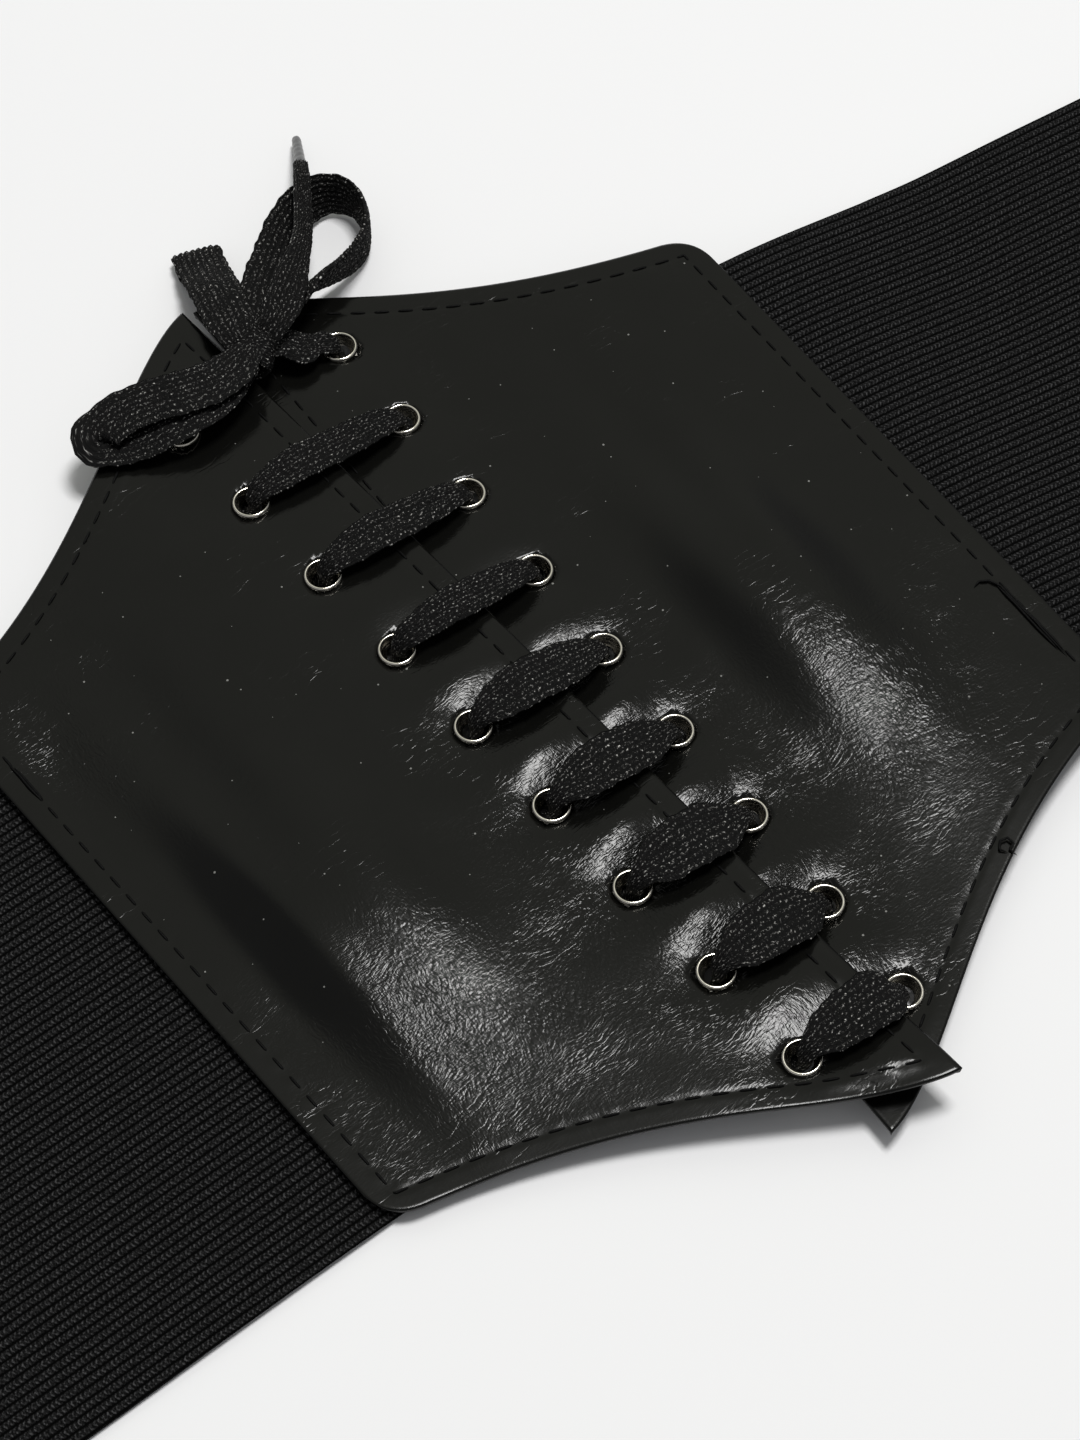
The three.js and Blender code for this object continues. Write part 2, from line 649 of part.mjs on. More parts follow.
// Stations of a free stretch of the bow from its table
function bowStations(route) {
  const points = route.map((row) => new THREE.Vector3(row.x, row.y, row.z));
  let lastSide = null;
  return route.map((row, i) => {
    const before = points[Math.max(i - 1, 0)];
    const after = points[Math.min(i + 1, points.length - 1)];
    const way = after.clone().sub(before).normalize();
    const flat = upAxis.clone().cross(way).normalize();
    if (lastSide && flat.dot(lastSide) < 0) {
      flat.negate();
    }
    lastSide = flat.clone();
    const side = flat.applyAxisAngle(way, THREE.MathUtils.degToRad(row.lean));
    return { at: points[i], way, side, width: row.width, wall: row.wall };
  });
}

function makeAglet(name) {
  const aglet = AGLET_TIPS[name];
  const end = BOW[aglet.tail][BOW[aglet.tail].length - 1];
  const start = new THREE.Vector3(end.x, end.y, end.z);
  const tip = new THREE.Vector3(aglet.x, aglet.y, aglet.z);
  const way = tip.clone().sub(start).normalize();
  start.addScaledVector(way, SEAT);
  const length = start.distanceTo(tip);
  const geometry = new THREE.CylinderGeometry(AGLET_RADIUS, AGLET_RADIUS, length, AGLET_SIDES);
  const turn = new THREE.Quaternion().setFromUnitVectors(new THREE.Vector3(0, 1, 0), way);
  const middle = start.add(tip).divideScalar(2);
  geometry.applyMatrix4(new THREE.Matrix4().compose(middle, turn, new THREE.Vector3(1, 1, 1)));
  return merged(geometry);
}

function makeKnot() {
  const geometry = new THREE.IcosahedronGeometry(1, 1);
  geometry.scale(KNOT.halfX, KNOT.halfY, KNOT.halfZ);
  geometry.translate(KNOT.x, KNOT.y, KNOT.z);
  return merged(geometry);
}

// Frame of an elastic: its profile's x runs from its edge under the leather to its hem, y up
function elasticFrame(side) {
  const turn = THREE.MathUtils.degToRad(side.elasticTurn);
  const along = new THREE.Vector3(side.sign * Math.cos(turn), Math.sin(turn), 0);
  const start = onPanel(side, PANEL_WIDTH, 0, 0);
  start.y -= ELASTIC_DROP;
  start.addScaledVector(along, -ELASTIC_TUCK);
  const across = along.clone().cross(upAxis);
  return new THREE.Matrix4().makeBasis(along, upAxis, across).setPosition(start);
}

// Extrudes a side view of the elastic's length and height evenly across its centre line
function acrossElastic(side, shape, width) {
  const geometry = extruded(shape, width);
  geometry.translate(0, 0, -width / 2);
  return geometry.applyMatrix4(elasticFrame(side));
}

function shapeOf(points) {
  const shape = new THREE.Shape();
  shape.moveTo(...points[0]);
  for (const point of points.slice(1)) {
    shape.lineTo(...point);
  }
  shape.closePath();
  return shape;
}

const ELASTIC_LENGTH = ELASTIC_TUCK + ELASTIC_REACH;
const HEM_TOP = 2 * ELASTIC_WALL + SEAT;

// Side view of the elastic: lifted at the seam, lying flat, then folded under into its hem
function elasticShape(side) {
  const liftPoints = [[0, side.sideLift], [ELASTIC_TUCK, side.sideLift]];
  if (side.sideLift > 0) {
    for (let i = 1; i <= LIFT_STEPS; i += 1) {
      const share = i / LIFT_STEPS;
      const lift = side.sideLift * (1 - smoothStep(share, 0, 1));
      liftPoints.push([ELASTIC_TUCK + LIFT_REACH * share, lift]);
    }
  }
  const hemStart = ELASTIC_LENGTH - HEM_LENGTH;
  const turnStart = ELASTIC_LENGTH - ELASTIC_WALL;
  const top = liftPoints.map(([distance, lift]) => [distance, lift + ELASTIC_WALL]);
  return shapeOf([
    ...top,
    [hemStart - HEM_RAMP, ELASTIC_WALL],
    [hemStart, HEM_TOP],
    [turnStart, HEM_TOP],
    [ELASTIC_LENGTH - ELASTIC_WALL * 0.3, HEM_TOP * 0.8],
    [ELASTIC_LENGTH, HEM_TOP / 2],
    [ELASTIC_LENGTH - ELASTIC_WALL * 0.3, HEM_TOP * 0.2],
    [turnStart, 0],
    [hemStart + SEAT, 0],
    [hemStart + SEAT, ELASTIC_WALL],
    [turnStart, ELASTIC_WALL],
    [turnStart, ELASTIC_WALL + SEAT],
    [hemStart, ELASTIC_WALL + SEAT],
    [hemStart - HEM_RAMP, 0],
    ...liftPoints.reverse(),
  ]);
}

function makeElastic(side) {
  return merged(acrossElastic(side, elasticShape(side), ELASTIC_WIDTH));
}

// The left elastic has a buttonhole through both layers of its hem
function makeSlitElastic(side) {
  const middle = ELASTIC_LENGTH - HEM_LENGTH / 2;
  const slitShape = shapeOf([
    [middle - SLIT_WIDTH / 2, -HEM_TOP],
    [middle + SLIT_WIDTH / 2, -HEM_TOP],
    [middle + SLIT_WIDTH / 2, 2 * HEM_TOP],
    [middle - SLIT_WIDTH / 2, 2 * HEM_TOP],
  ]);
  const slit = acrossElastic(side, slitShape, HOOK_WIDTH + SLIT_EASE);
  return fromSolid(toSolid(makeElastic(side)).subtract(toSolid(slit)));
}

// Hook plate on the right elastic's hem, its tongue turned down and back beyond the hem
function makeHook(side) {
  const under = HEM_TOP + SEAT;
  const over = under + HOOK_WALL;
  const reach = ELASTIC_LENGTH + HOOK_TONGUE;
  const lipTop = under - HOOK_GAP;
  return merged(acrossElastic(side, shapeOf([
    [ELASTIC_LENGTH - HOOK_SEAT, under],
    [reach - HOOK_WALL, under],
    [reach - HOOK_WALL, lipTop],
    [reach - HOOK_LIP, lipTop],
    [reach - HOOK_LIP, lipTop - HOOK_WALL],
    [reach, lipTop - HOOK_WALL],
    [reach, over],
    [ELASTIC_LENGTH - HOOK_SEAT, over],
  ]), HOOK_WIDTH));
}

const leather = { color: 0x141413, roughness: 0.42, metalness: 0 };
const knit = { color: 0x0f0f0f, roughness: 0.9, metalness: 0 };
const braid = { color: 0x121212, roughness: 0.85, metalness: 0 };
const nickel = { color: 0xc9c4ba, roughness: 0.25, metalness: 1 };
const sheath = { color: 0x1b1b1a, roughness: 0.3, metalness: 0 };

const belt = new THREE.Group();

function addPiece(name, geometry, look) {
  const mesh = new THREE.Mesh(geometry, new THREE.MeshStandardMaterial(look));
  mesh.name = name;
  belt.add(mesh);
  return mesh;
}

for (const side of [LEFT, RIGHT]) {
  addPiece(`panel_${side.name}`, makePanel(side), leather);
  for (let row = 1; row <= ROWS; row += 1) {
    addPiece(`eyelet_${side.name}_${row}`, makeEyelet(side, row), nickel);
  }
}
addPiece('elastic_left', makeSlitElastic(LEFT), knit);
addPiece('elastic_right', makeElastic(RIGHT), knit);
addPiece('clasp_hook', makeHook(RIGHT), nickel);
addPiece('lace', ribbon(laceStations()), braid);

// The origin is the middle of the belt's footprint on the ground, the bow left out
const footprint = new THREE.Box3().setFromObject(belt);
const middle = footprint.getCenter(new THREE.Vector3());

addPiece('bow_knot', makeKnot(), braid);
for (const name of Object.keys(BOW)) {
  addPiece(name, ribbon(bowStations(BOW[name])), braid);
}
for (const name of Object.keys(AGLET_TIPS)) {
  addPiece(name, makeAglet(name), sheath);
}
belt.position.set(-middle.x, -middle.y, -footprint.min.z);

export default belt;
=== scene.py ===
import math

import bpy
import numpy as np
from mathutils import Matrix, Vector


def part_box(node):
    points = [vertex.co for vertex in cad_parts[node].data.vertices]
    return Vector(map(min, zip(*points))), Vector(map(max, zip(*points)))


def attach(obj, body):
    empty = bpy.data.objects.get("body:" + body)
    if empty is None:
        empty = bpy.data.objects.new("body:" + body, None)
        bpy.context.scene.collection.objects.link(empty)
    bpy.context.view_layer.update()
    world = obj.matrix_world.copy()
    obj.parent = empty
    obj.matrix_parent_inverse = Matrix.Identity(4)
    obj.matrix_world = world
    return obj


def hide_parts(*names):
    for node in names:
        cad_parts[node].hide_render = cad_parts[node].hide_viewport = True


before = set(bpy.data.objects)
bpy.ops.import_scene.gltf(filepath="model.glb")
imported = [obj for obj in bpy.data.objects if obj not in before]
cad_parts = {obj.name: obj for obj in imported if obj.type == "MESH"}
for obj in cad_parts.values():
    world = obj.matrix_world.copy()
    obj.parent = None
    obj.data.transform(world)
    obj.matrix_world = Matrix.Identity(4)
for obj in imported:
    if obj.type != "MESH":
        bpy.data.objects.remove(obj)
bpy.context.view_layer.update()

# Everything below is worked out in millimetres in the belt's own frame: +X along the belt, +Y along the lacing
# towards the bow, +Z up. Places on a panel are (out, up): out from its laced edge, up from its mid height.
MM = 0.001
UP = np.array([0.0, 0.0, 1.0])

# Front panels
CENTRE_HEIGHT = 210.0
SIDE_HEIGHT = 127.0
PANEL_WIDTH = 86.0
PANEL_WALL = 1.8
CORNER_RADIUS = 7.0
SPLAY = math.radians(2.3)
EDGE_LAP = 3.1
EDGE_FALL_REACH = 53.0
EDGE_FALL_POWER = 1.46
STITCH_MARGIN = 4.0
STITCH_PITCH = 4.5
LEATHER_THICKNESS = 1.6

# Eyelets
ROWS = 9
ROW_PITCH = 21.0
TOP_ROW_UP = 81.8
EYELET_INSET = 17.6
HOLE_RADIUS = 2.5
FLAT_HALF = 4.0
PUCKER = 0.5
PUCKER_SPREAD = 8.0

# Elastic
ELASTIC_WALL = 1.5
ELASTIC_WIDTH = 120.0
ELASTIC_REACH = 250.0
ELASTIC_TUCK = 9.0
ELASTIC_DROP = 3.3
HEM_LENGTH = 18.0
HEM_RAMP = 8.0
LIFT_REACH = 45.0
SLIT_WIDTH = 2.4
HOOK_WIDTH = 40.0
SLIT_EASE = 2.0
RIB_PITCH = 1.65
KNIT_PITCH = 0.86

SEAT = 0.3
STRIP_END = EYELET_INSET + 6
SEAM_START = PANEL_WIDTH - 10
SWELL_EASE = 12.0
CORNER_OUT = 14.0
CORNER_UP = 18.0

LEFT = dict(name="left", sign=-1, strip_top=7.6, top_dip=1.0, corner_lift=2.5, side_lift=0.0, turn=0.0)
RIGHT = dict(name="right", sign=1, strip_top=4.9, top_dip=0.0, corner_lift=0.0, side_lift=3.5, turn=-6.3)

# Swells of the leather: place and spread as shares of the panel's width and half height, rise in mm
SWELLS = {
    "left": [dict(out=0.68, up=-0.12, spread_out=0.21, spread_up=0.31, rise=4.5)],
    "right": [dict(out=0.57, up=-0.1, spread_out=0.14, spread_up=0.31, rise=4.2)],
}

# Flat lace
LACE_WIDTH = 9.6
LACE_WALL = 1.6
HOLE_LACE_WIDTH = 3.2
HOLE_LACE_WALL = 2.0
HOLE_LACE_SHIFT = 0.6
RUN_WIDTH = 5.5
RUN_WALL = 1.3
RUN_BOW = 6.0
BACK_ROLL = 0.6
FLANGE_RISE = 0.85
LIP_REACH = 2.4
LIP_HEIGHT = 2.55
LIP_WIDTH = 5.0
LACE_EASE = 3.2
CROSSING_CROWN = 0.9
BRAID_COLUMNS = 8
BRAID_PITCH = 1.3
BRAID_DEPTH = 0.42

# Each crossing from the second row down: share of the lace's full width and how plump it is there
CROSSINGS = [
    (0.78, 1.35), (0.8, 1.3), (0.74, 1.4), (0.95, 1.1), (1.0, 1.0), (1.1, 1.0), (1.1, 1.0), (1.0, 1.05),
]

# How deep the crease along each crossing is, as a share of its thickness
CROSSING_FOLDS = [0.5, 0.45, 0.5, 0.15, 0.1, 0.05, 0.0, 0.0]

# The lace's way through the eyelets: side, row and how the run under the panels that ends there bows
ROUTE = [
    (LEFT, 1, 0), (LEFT, 2, 0), (RIGHT, 2, 0), (RIGHT, 4, 1), (LEFT, 4, 0), (LEFT, 6, 1), (RIGHT, 6, 0),
    (RIGHT, 8, 1), (LEFT, 8, 0), (LEFT, 9, 0), (RIGHT, 9, 0), (RIGHT, 7, -1), (LEFT, 7, 0), (LEFT, 5, -1),
    (RIGHT, 5, 0), (RIGHT, 3, -1), (LEFT, 3, 0), (RIGHT, 1, 0),
]

# Routes of the bow's free stretches, listed from the knot outwards: x, y, z, lean of the flat lace in
# degrees, width and thickness
STRAND_LEFT = [
    (-13.5, 82.1, 10.2, 0, 5, 2), (-9.5, 82.6, 10.4, 0, 7, 1.8), (-5.5, 83.7, 10.5, 0, 6.5, 1.8),
    (-2.6, 84.7, 10.4, 0, 5, 2),
]
STRAND_RIGHT = [
    (13.6, 82.5, 7.5, 0, 5, 2), (11.4, 83.0, 7.9, 0, 7.5, 2), (9.4, 83.8, 9.1, 0, 7.5, 2),
    (7.5, 84.8, 10.0, 0, 5.5, 2.2),
]
LOOP_UPPER = [
    (6.2, 90.2, 9.6, 8, 6, 1.6), (9.2, 93.7, 8.8, 12, 8.5, 1.6), (13.6, 98.5, 7.9, 20, 9.6, 1.6),
    (19.9, 104.4, 6.1, 33, 9.6, 1.6), (27.0, 110.4, 5.4, 50, 9.6, 1.6), (33.4, 113.4, 5.4, 68, 9.6, 1.6),
    (38.4, 112.4, 5.4, 80, 9.6, 1.6), (40.9, 108.4, 5.4, 88, 9.6, 1.6), (39.8, 102.8, 5.4, 90, 9.6, 1.6),
    (36.6, 98.6, 5.4, 88, 9.6, 1.6), (32.2, 96.4, 5.9, 82, 9.6, 1.6), (26.8, 94.8, 7.4, 70, 9.6, 1.6),
    (20.4, 92.9, 9.9, 58, 9.0, 1.6), (14.4, 90.5, 10.6, 42, 7, 1.6), (9.6, 88.2, 11.2, 35, 5.5, 1.6),
]
TAIL_UPPER = [
    (7.6, 86.6, 14.2, 10, 5.5, 1.8), (10.6, 88.4, 15.0, 15, 7, 1.8), (15.4, 92.0, 15.4, 25, 6.5, 1.8),
    (20.8, 97.2, 14.0, 40, 5, 1.8), (25.6, 102.6, 12.4, 40, 4, 2), (29.6, 108.2, 12.4, 30, 3.6, 2),
    (33.2, 113.6, 12.2, 20, 3.2, 2.2), (36.4, 118.8, 9.4, 10, 2.8, 2.2),
]
TAIL_FOLDED = [
    (1.5, 90.0, 12.6, 0, 7, 1.6), (2.6, 93.6, 12.4, 0, 9.2, 1.6), (4.0, 98.6, 11.8, 0, 9.4, 1.6),
    (5.6, 104.0, 10.0, 0, 9.4, 1.6), (7.4, 109.0, 7.0, 0, 9.4, 1.6), (9.2, 114.0, 4.2, 0, 9.4, 1.6),
    (10.6, 117.6, 2.9, 0, 9.4, 1.6), (11.0, 118.8, 1.9, 0, 9.4, 1.4), (10.4, 117.0, 1.1, 0, 9.4, 1.4),
    (8.8, 112.8, 1.7, 0, 8.5, 1.4), (7.2, 108.6, 4.4, 0, 6.5, 1.6),
]
LOOP_LOWER = [
    (-0.8, 84.0, 14.2, 0, 6.5, 1.6), (-4.5, 82.4, 14.8, 0, 8.5, 1.6), (-9.5, 82.0, 15.0, 0, 9.4, 1.6),
    (-14.5, 83.4, 14.8, 0, 9.6, 1.6), (-20.0, 86.2, 13.6, 0, 9.6, 1.6), (-25.6, 88.0, 12.4, 0, 9.6, 1.6),
    (-30.2, 88.0, 11.2, 0, 9.6, 1.6), (-31.8, 87.2, 10.1, 0, 9.6, 1.4), (-30.0, 85.8, 9.1, 0, 9.6, 1.4),
    (-25.6, 83.2, 9.6, 0, 9.6, 1.5), (-20.4, 81.0, 11.6, 0, 9.2, 1.5), (-15.0, 79.8, 12.8, 0, 8.5, 1.5),
    (-9.8, 79.8, 12.7, 0, 7.5, 1.5), (-5.4, 81.0, 12.6, 0, 6, 1.4),
]
AGLET_UPPER_TIP = (43.4, 131.0, 1.5)
AGLET_FOLDED_TIP = (3.2, 95.8, 9.5)
AGLET_RADIUS = 1.0
AGLET_SIDES = 20
AGLET_RINGS = 30
KNOT = (2.6, 86.4, 10.6)
KNOT_LACE_WIDTH = 4.5
KNOT_LACE_WALL = 1.5
KNOT_LEAN = 28.0

# The two turns wrapped round the knot: shift along it, tilt in degrees, width, reach to the side and up
KNOT_TURNS = [(-1.1, 18, 6.2, 3.3, 2.9), (1.6, -14, 5.4, 3.0, 2.5)]

# Camera of the photograph: focal length for a 36 mm long side, angles in degrees, distances in mm
CAMERA_LENS = 85.19
CAMERA_AZIMUTH = -36.85
CAMERA_ELEVATION = 57.43
CAMERA_ROLL = -1.17
CAMERA_DISTANCE = 598.2
CAMERA_TARGET = (-1.55, -5.04, 0.0)


def smooth_step(value, low, high):
    t = np.clip((np.asarray(value, float) - low) / (high - low), 0, 1)
    return t * t * (3 - 2 * t)


def edge_fall(out):
    def share(distance):
        return 1 - np.exp(-((np.maximum(distance, 0) / EDGE_FALL_REACH) ** EDGE_FALL_POWER))
    return (CENTRE_HEIGHT - SIDE_HEIGHT) / 2 * share(np.asarray(out, float)) / share(PANEL_WIDTH)


def row_up(row):
    return TOP_ROW_UP - (row - 1) * ROW_PITCH


def between_rows(up):
    """1 midway between two rows of eyelets and -1 at a row."""
    return -np.cos(2 * np.pi * (up - row_up(1)) / ROW_PITCH)


def pucker(out, up):
    """How the laces' pull lifts the leather between the eyelets."""
    rows = smooth_step(up, row_up(ROWS) - ROW_PITCH, row_up(ROWS))
    rows = rows * (1 - smooth_step(up, row_up(1), row_up(1) + ROW_PITCH))
    return PUCKER * rows * between_rows(up) * np.exp(-(((out - EYELET_INSET) / PUCKER_SPREAD) ** 2))


def leather_top(side, out, up):
    """Height of a panel's top face, nearly as in the CAD part."""
    half = CENTRE_HEIGHT / 2
    dip = side["top_dip"] * smooth_step(up, half * 0.76, half)
    corner = side["corner_lift"] * np.exp(-((out / CORNER_OUT) ** 2) - ((up + half) / CORNER_UP) ** 2)
    strip = side["strip_top"] - dip + corner
    seam = ELASTIC_WALL + SEAT + PANEL_WALL + side["side_lift"]
    height = strip + (seam - strip) * smooth_step(out, STRIP_END, SEAM_START)
    opened = smooth_step(out, STRIP_END, STRIP_END + SWELL_EASE)
    opened = opened * (1 - smooth_step(out, SEAM_START - SWELL_EASE, SEAM_START))
    for swell in SWELLS[side["name"]]:
        out_share = np.abs(out / PANEL_WIDTH - swell["out"]) / swell["spread_out"]
        up_share = (up / half - swell["up"]) / swell["spread_up"]
        height = height + opened * swell["rise"] * np.exp(-(out_share**3) - up_share**2)
    return height + pucker(out, up)


def on_panel(side, out, up, height):
    """Points of a panel in the belt's frame, from arrays of out, up and height."""
    x = side["sign"] * (-EDGE_LAP + out * math.cos(SPLAY) + up * math.sin(SPLAY))
    y = -out * math.sin(SPLAY) + up * math.cos(SPLAY)
    return np.stack([x, y, np.broadcast_to(height, np.shape(x))], axis=-1)


def panel_out(side, x, y):
    return (side["sign"] * x + EDGE_LAP) * math.cos(SPLAY) - y * math.sin(SPLAY)


# The CAD part's origin is elsewhere along the belt than the belt's own: one eyelet ties the two together
eyelet_low, eyelet_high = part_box("eyelet_right_9")
eyelet_here = on_panel(RIGHT, EYELET_INSET, row_up(9), 0.0)
ORIGIN = np.array([
    (eyelet_low[0] + eyelet_high[0]) / 2 / MM - eyelet_here[0],
    (eyelet_low[1] + eyelet_high[1]) / 2 / MM - eyelet_here[1],
    0.0,
])


def to_world(points):
    return (np.asarray(points, float) + ORIGIN) * MM


def add_mesh(name, points, faces, materials, uvs=None, attributes=None):
    """A smooth-shaded mesh piece from points in mm in the belt's frame; faces are an array or a mixed list."""
    mesh = bpy.data.meshes.new(name)
    faces = faces.tolist() if isinstance(faces, np.ndarray) else faces
    mesh.from_pydata(to_world(points).tolist(), [], faces)
    for material in materials:
        mesh.materials.append(material)
    mesh.polygons.foreach_set("use_smooth", np.ones(len(mesh.polygons), bool))
    if uvs is not None:
        corners = np.empty(len(mesh.loops), np.int32)
        mesh.loops.foreach_get("vertex_index", corners)
        layer = mesh.uv_layers.new(name="weave")
        layer.data.foreach_set("uv", np.asarray(uvs, np.float32)[corners].ravel())
    for key, values in (attributes or {}).items():
        layer = mesh.attributes.new(key, "FLOAT", "POINT")
        layer.data.foreach_set("value", np.asarray(values, np.float32))
    mesh.update()
    piece = bpy.data.objects.new(name, mesh)
    bpy.context.scene.collection.objects.link(piece)
    return piece


def grid_faces(rows, columns, closed=False):
    """Quads of a grid of points, row by row; closed joins the last column to the first."""
    r = np.arange(rows - 1)[:, None] * columns
    c = np.arange(columns if closed else columns - 1)[None, :]
    after = (c + 1) % columns
    quads = np.stack([r + c, r + after, r + columns + after, r + columns + c], axis=-1)
    return quads.reshape(-1, 4)


def tube_faces(rings, sides):
    """Faces of a closed tube of rings of points, with a cap on each end."""
    last = (rings - 1) * sides
    faces = grid_faces(rings, sides, closed=True).tolist()
    return faces + [list(range(sides))[::-1], list(range(last, last + sides))]


def thicken(piece, thickness, offset=0):
    """Gives a sheet its thickness in mm: offset 0 to both sides, -1 to its back."""
    thick = piece.modifiers.new("thickness", "SOLIDIFY")
    thick.thickness = thickness * MM
    thick.offset = offset
    return thick


def finish_piece(piece, slot, *nodes):
    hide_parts(*nodes)
    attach(piece, "root")
    return piece


# Materials

UV_UNIT = 100.0
CLOTH_PITCH = 0.7


class Shader:
    """A material with one Principled shader, and short ways to add nodes to it."""

    def __init__(self, name, color, roughness, metallic=0.0, specular=0.5):
        self.material = bpy.data.materials.new(name)
        self.material.use_nodes = True
        self.tree = self.material.node_tree
        self.surface = self.tree.nodes["Principled BSDF"]
        self.surface.inputs["Base Color"].default_value = (*color, 1)
        self.surface.inputs["Roughness"].default_value = roughness
        self.surface.inputs["Metallic"].default_value = metallic
        self.surface.inputs["Specular IOR Level"].default_value = specular

    def put(self, socket, value):
        if isinstance(value, bpy.types.NodeSocket):
            self.tree.links.new(value, socket)
        else:
            socket.default_value = value

    def node(self, kind, inputs=(), **settings):
        made = self.tree.nodes.new(kind)
        for key, value in settings.items():
            setattr(made, key, value)
        for key, value in dict(inputs).items():
            self.put(made.inputs[key], value)
        return made

    def math(self, operation, first, second=0.0):
        return self.node("ShaderNodeMath", {0: first, 1: second}, operation=operation).outputs[0]

    def times(self, first, second):
        return self.math("MULTIPLY", first, second)

    def minus(self, first, second):
        return self.math("SUBTRACT", first, second)

    def vector_math(self, operation, first, second):
        made = self.node("ShaderNodeVectorMath", {0: first}, operation=operation)
        self.put(made.inputs["Scale" if operation == "SCALE" else 1], second)
        return made.outputs[0]

    def attribute(self, name):
        return self.node("ShaderNodeAttribute", attribute_name=name).outputs["Fac"]

    def color(self, color):
        self.put(self.surface.inputs["Base Color"], color)

    def roughness(self, roughness):
        self.put(self.surface.inputs["Roughness"], roughness)

    def weave(self):
        """The piece's UV map in mm, as (vector, along, across)."""
        uv = self.node("ShaderNodeUVMap", uv_map="weave").outputs["UV"]
        scaled = self.vector_math("SCALE", uv, UV_UNIT)
        parts = self.node("ShaderNodeSeparateXYZ", {0: scaled})
        return scaled, parts.outputs[0], parts.outputs[1]

    def place(self):
        """The point's place in mm."""
        return self.vector_math("SCALE", self.node("ShaderNodeTexCoord").outputs["Object"], 1 / MM)

    def noise(self, vector, scale, turn=0.0, detail=2.0, roughness=0.5):
        mapping = self.node(
            "ShaderNodeMapping",
            {"Vector": vector, "Scale": scale, "Rotation": (0, 0, turn)},
            vector_type="POINT",
        )
        made = self.node(
            "ShaderNodeTexNoise",
            {"Vector": mapping.outputs[0], "Scale": 1.0, "Detail": detail, "Roughness": roughness},
            noise_dimensions="3D",
        )
        return made.outputs["Fac"]

    def ramp(self, value, low, high, from_low=0.0, from_high=1.0):
        made = self.node(
            "ShaderNodeMapRange",
            {"Value": value, "From Min": from_low, "From Max": from_high, "To Min": low, "To Max": high},
        )
        return made.outputs[0]

    def blend(self, factor, first, second):
        made = self.node("ShaderNodeMix", data_type="RGBA")
        self.put(made.inputs[0], factor)
        for socket, color in ((made.inputs[6], first), (made.inputs[7], second)):
            self.put(socket, (*color, 1) if isinstance(color, tuple) else color)
        return made.outputs[2]

    def specks(self, vector):
        """A few small specks of dust: 1 on a speck and 0 elsewhere."""
        cells = self.node("ShaderNodeTexVoronoi", {"Vector": vector, "Scale": 0.16}, voronoi_dimensions="2D")
        chance = self.node("ShaderNodeSeparateColor", {0: cells.outputs["Color"]})
        size = self.ramp(chance.outputs[0], 0.0, 0.034, 0.72, 1.0)
        return self.math("LESS_THAN", cells.outputs["Distance"], size)

    def bump(self, height, distance):
        """Bumps the surface by height times distance in mm, after any bump made before."""
        made = self.node("ShaderNodeBump", {"Height": height, "Distance": distance * MM, "Strength": 1.0})
        earlier = self.surface.inputs["Normal"].links
        if earlier:
            self.put(made.inputs["Normal"], earlier[0].from_socket)
        self.put(self.surface.inputs["Normal"], made.outputs[0])


def leather_material():
    shader = Shader("black_leather", (0.004, 0.004, 0.0036), 0.17, specular=0.22)
    vector, _, _ = shader.weave()
    drift = shader.node(
        "ShaderNodeTexNoise", {"Vector": vector, "Scale": 0.11, "Detail": 3.0}, noise_dimensions="3D",
    ).outputs["Color"]
    drift = shader.vector_math("SCALE", shader.vector_math("SUBTRACT", drift, (0.5, 0.5, 0.5)), 4.0)
    warped = shader.vector_math("ADD", vector, drift)

    def creases(scale, turn, sharpness, detail=1.5):
        away = shader.math("ABSOLUTE", shader.minus(shader.noise(warped, scale, turn, detail), 0.5))
        return shader.math("MAXIMUM", shader.minus(1.0, shader.times(away, sharpness)), 0.0)

    grain = shader.attribute("grain")
    along = creases((0.5, 1.6, 1), 0.2, 6.5)
    across = creases((1.6, 0.5, 1), 0.35, 6.5)
    share = shader.ramp(shader.noise(vector, (0.05, 0.05, 1)), 0.15, 0.85, 0.42, 0.6)
    fine = shader.math("ADD", shader.times(along, shader.minus(1.0, share)), shader.times(across, share))
    long_lines = creases((0.07, 0.42, 1), 0.1, 26.0, 2.5)
    long_mask = shader.ramp(shader.noise(vector, (0.06, 0.06, 1), 0.0, 1.0), 0.0, 1.0, 0.5, 0.6)
    pebble = shader.noise(warped, (1.9, 1.9, 1))
    shader.bump(shader.times(fine, grain), -0.06)
    shader.bump(shader.times(pebble, grain), 0.035)
    shader.bump(shader.times(long_lines, long_mask), -0.018)
    shader.roughness(shader.ramp(shader.attribute("dull"), 0.16, 0.175))
    tone = shader.noise(vector, (0.12, 0.12, 1), 0.0, 3.0)
    color = shader.blend(tone, (0.003, 0.003, 0.0026), (0.0042, 0.0042, 0.0037))
    shader.color(shader.blend(shader.specks(vector), color, (0.2, 0.2, 0.19)))
    return shader.material


def cut_edge_material():
    shader = Shader("cut_edge", (0.012, 0.012, 0.011), 0.7)
    fibres = shader.noise(shader.place(), (1.2, 1.2, 4.0))
    shader.color(shader.blend(fibres, (0.006, 0.006, 0.006), (0.022, 0.022, 0.02)))
    shader.bump(fibres, 0.1)
    return shader.material


def lining_material():
    shader = Shader("lining_cloth", (0.014, 0.014, 0.014), 0.9)
    vector, out, up = shader.weave()
    warp, weft = (shader.math("SINE", shader.times(at, 2 * math.pi / CLOTH_PITCH)) for at in (out, up))
    shader.bump(shader.times(warp, weft), 0.05)
    fuzz = shader.noise(vector, (1.5, 1.5, 1), 0.0, 3.0)
    shader.color(shader.blend(fuzz, (0.009, 0.009, 0.009), (0.021, 0.021, 0.021)))
    return shader.material


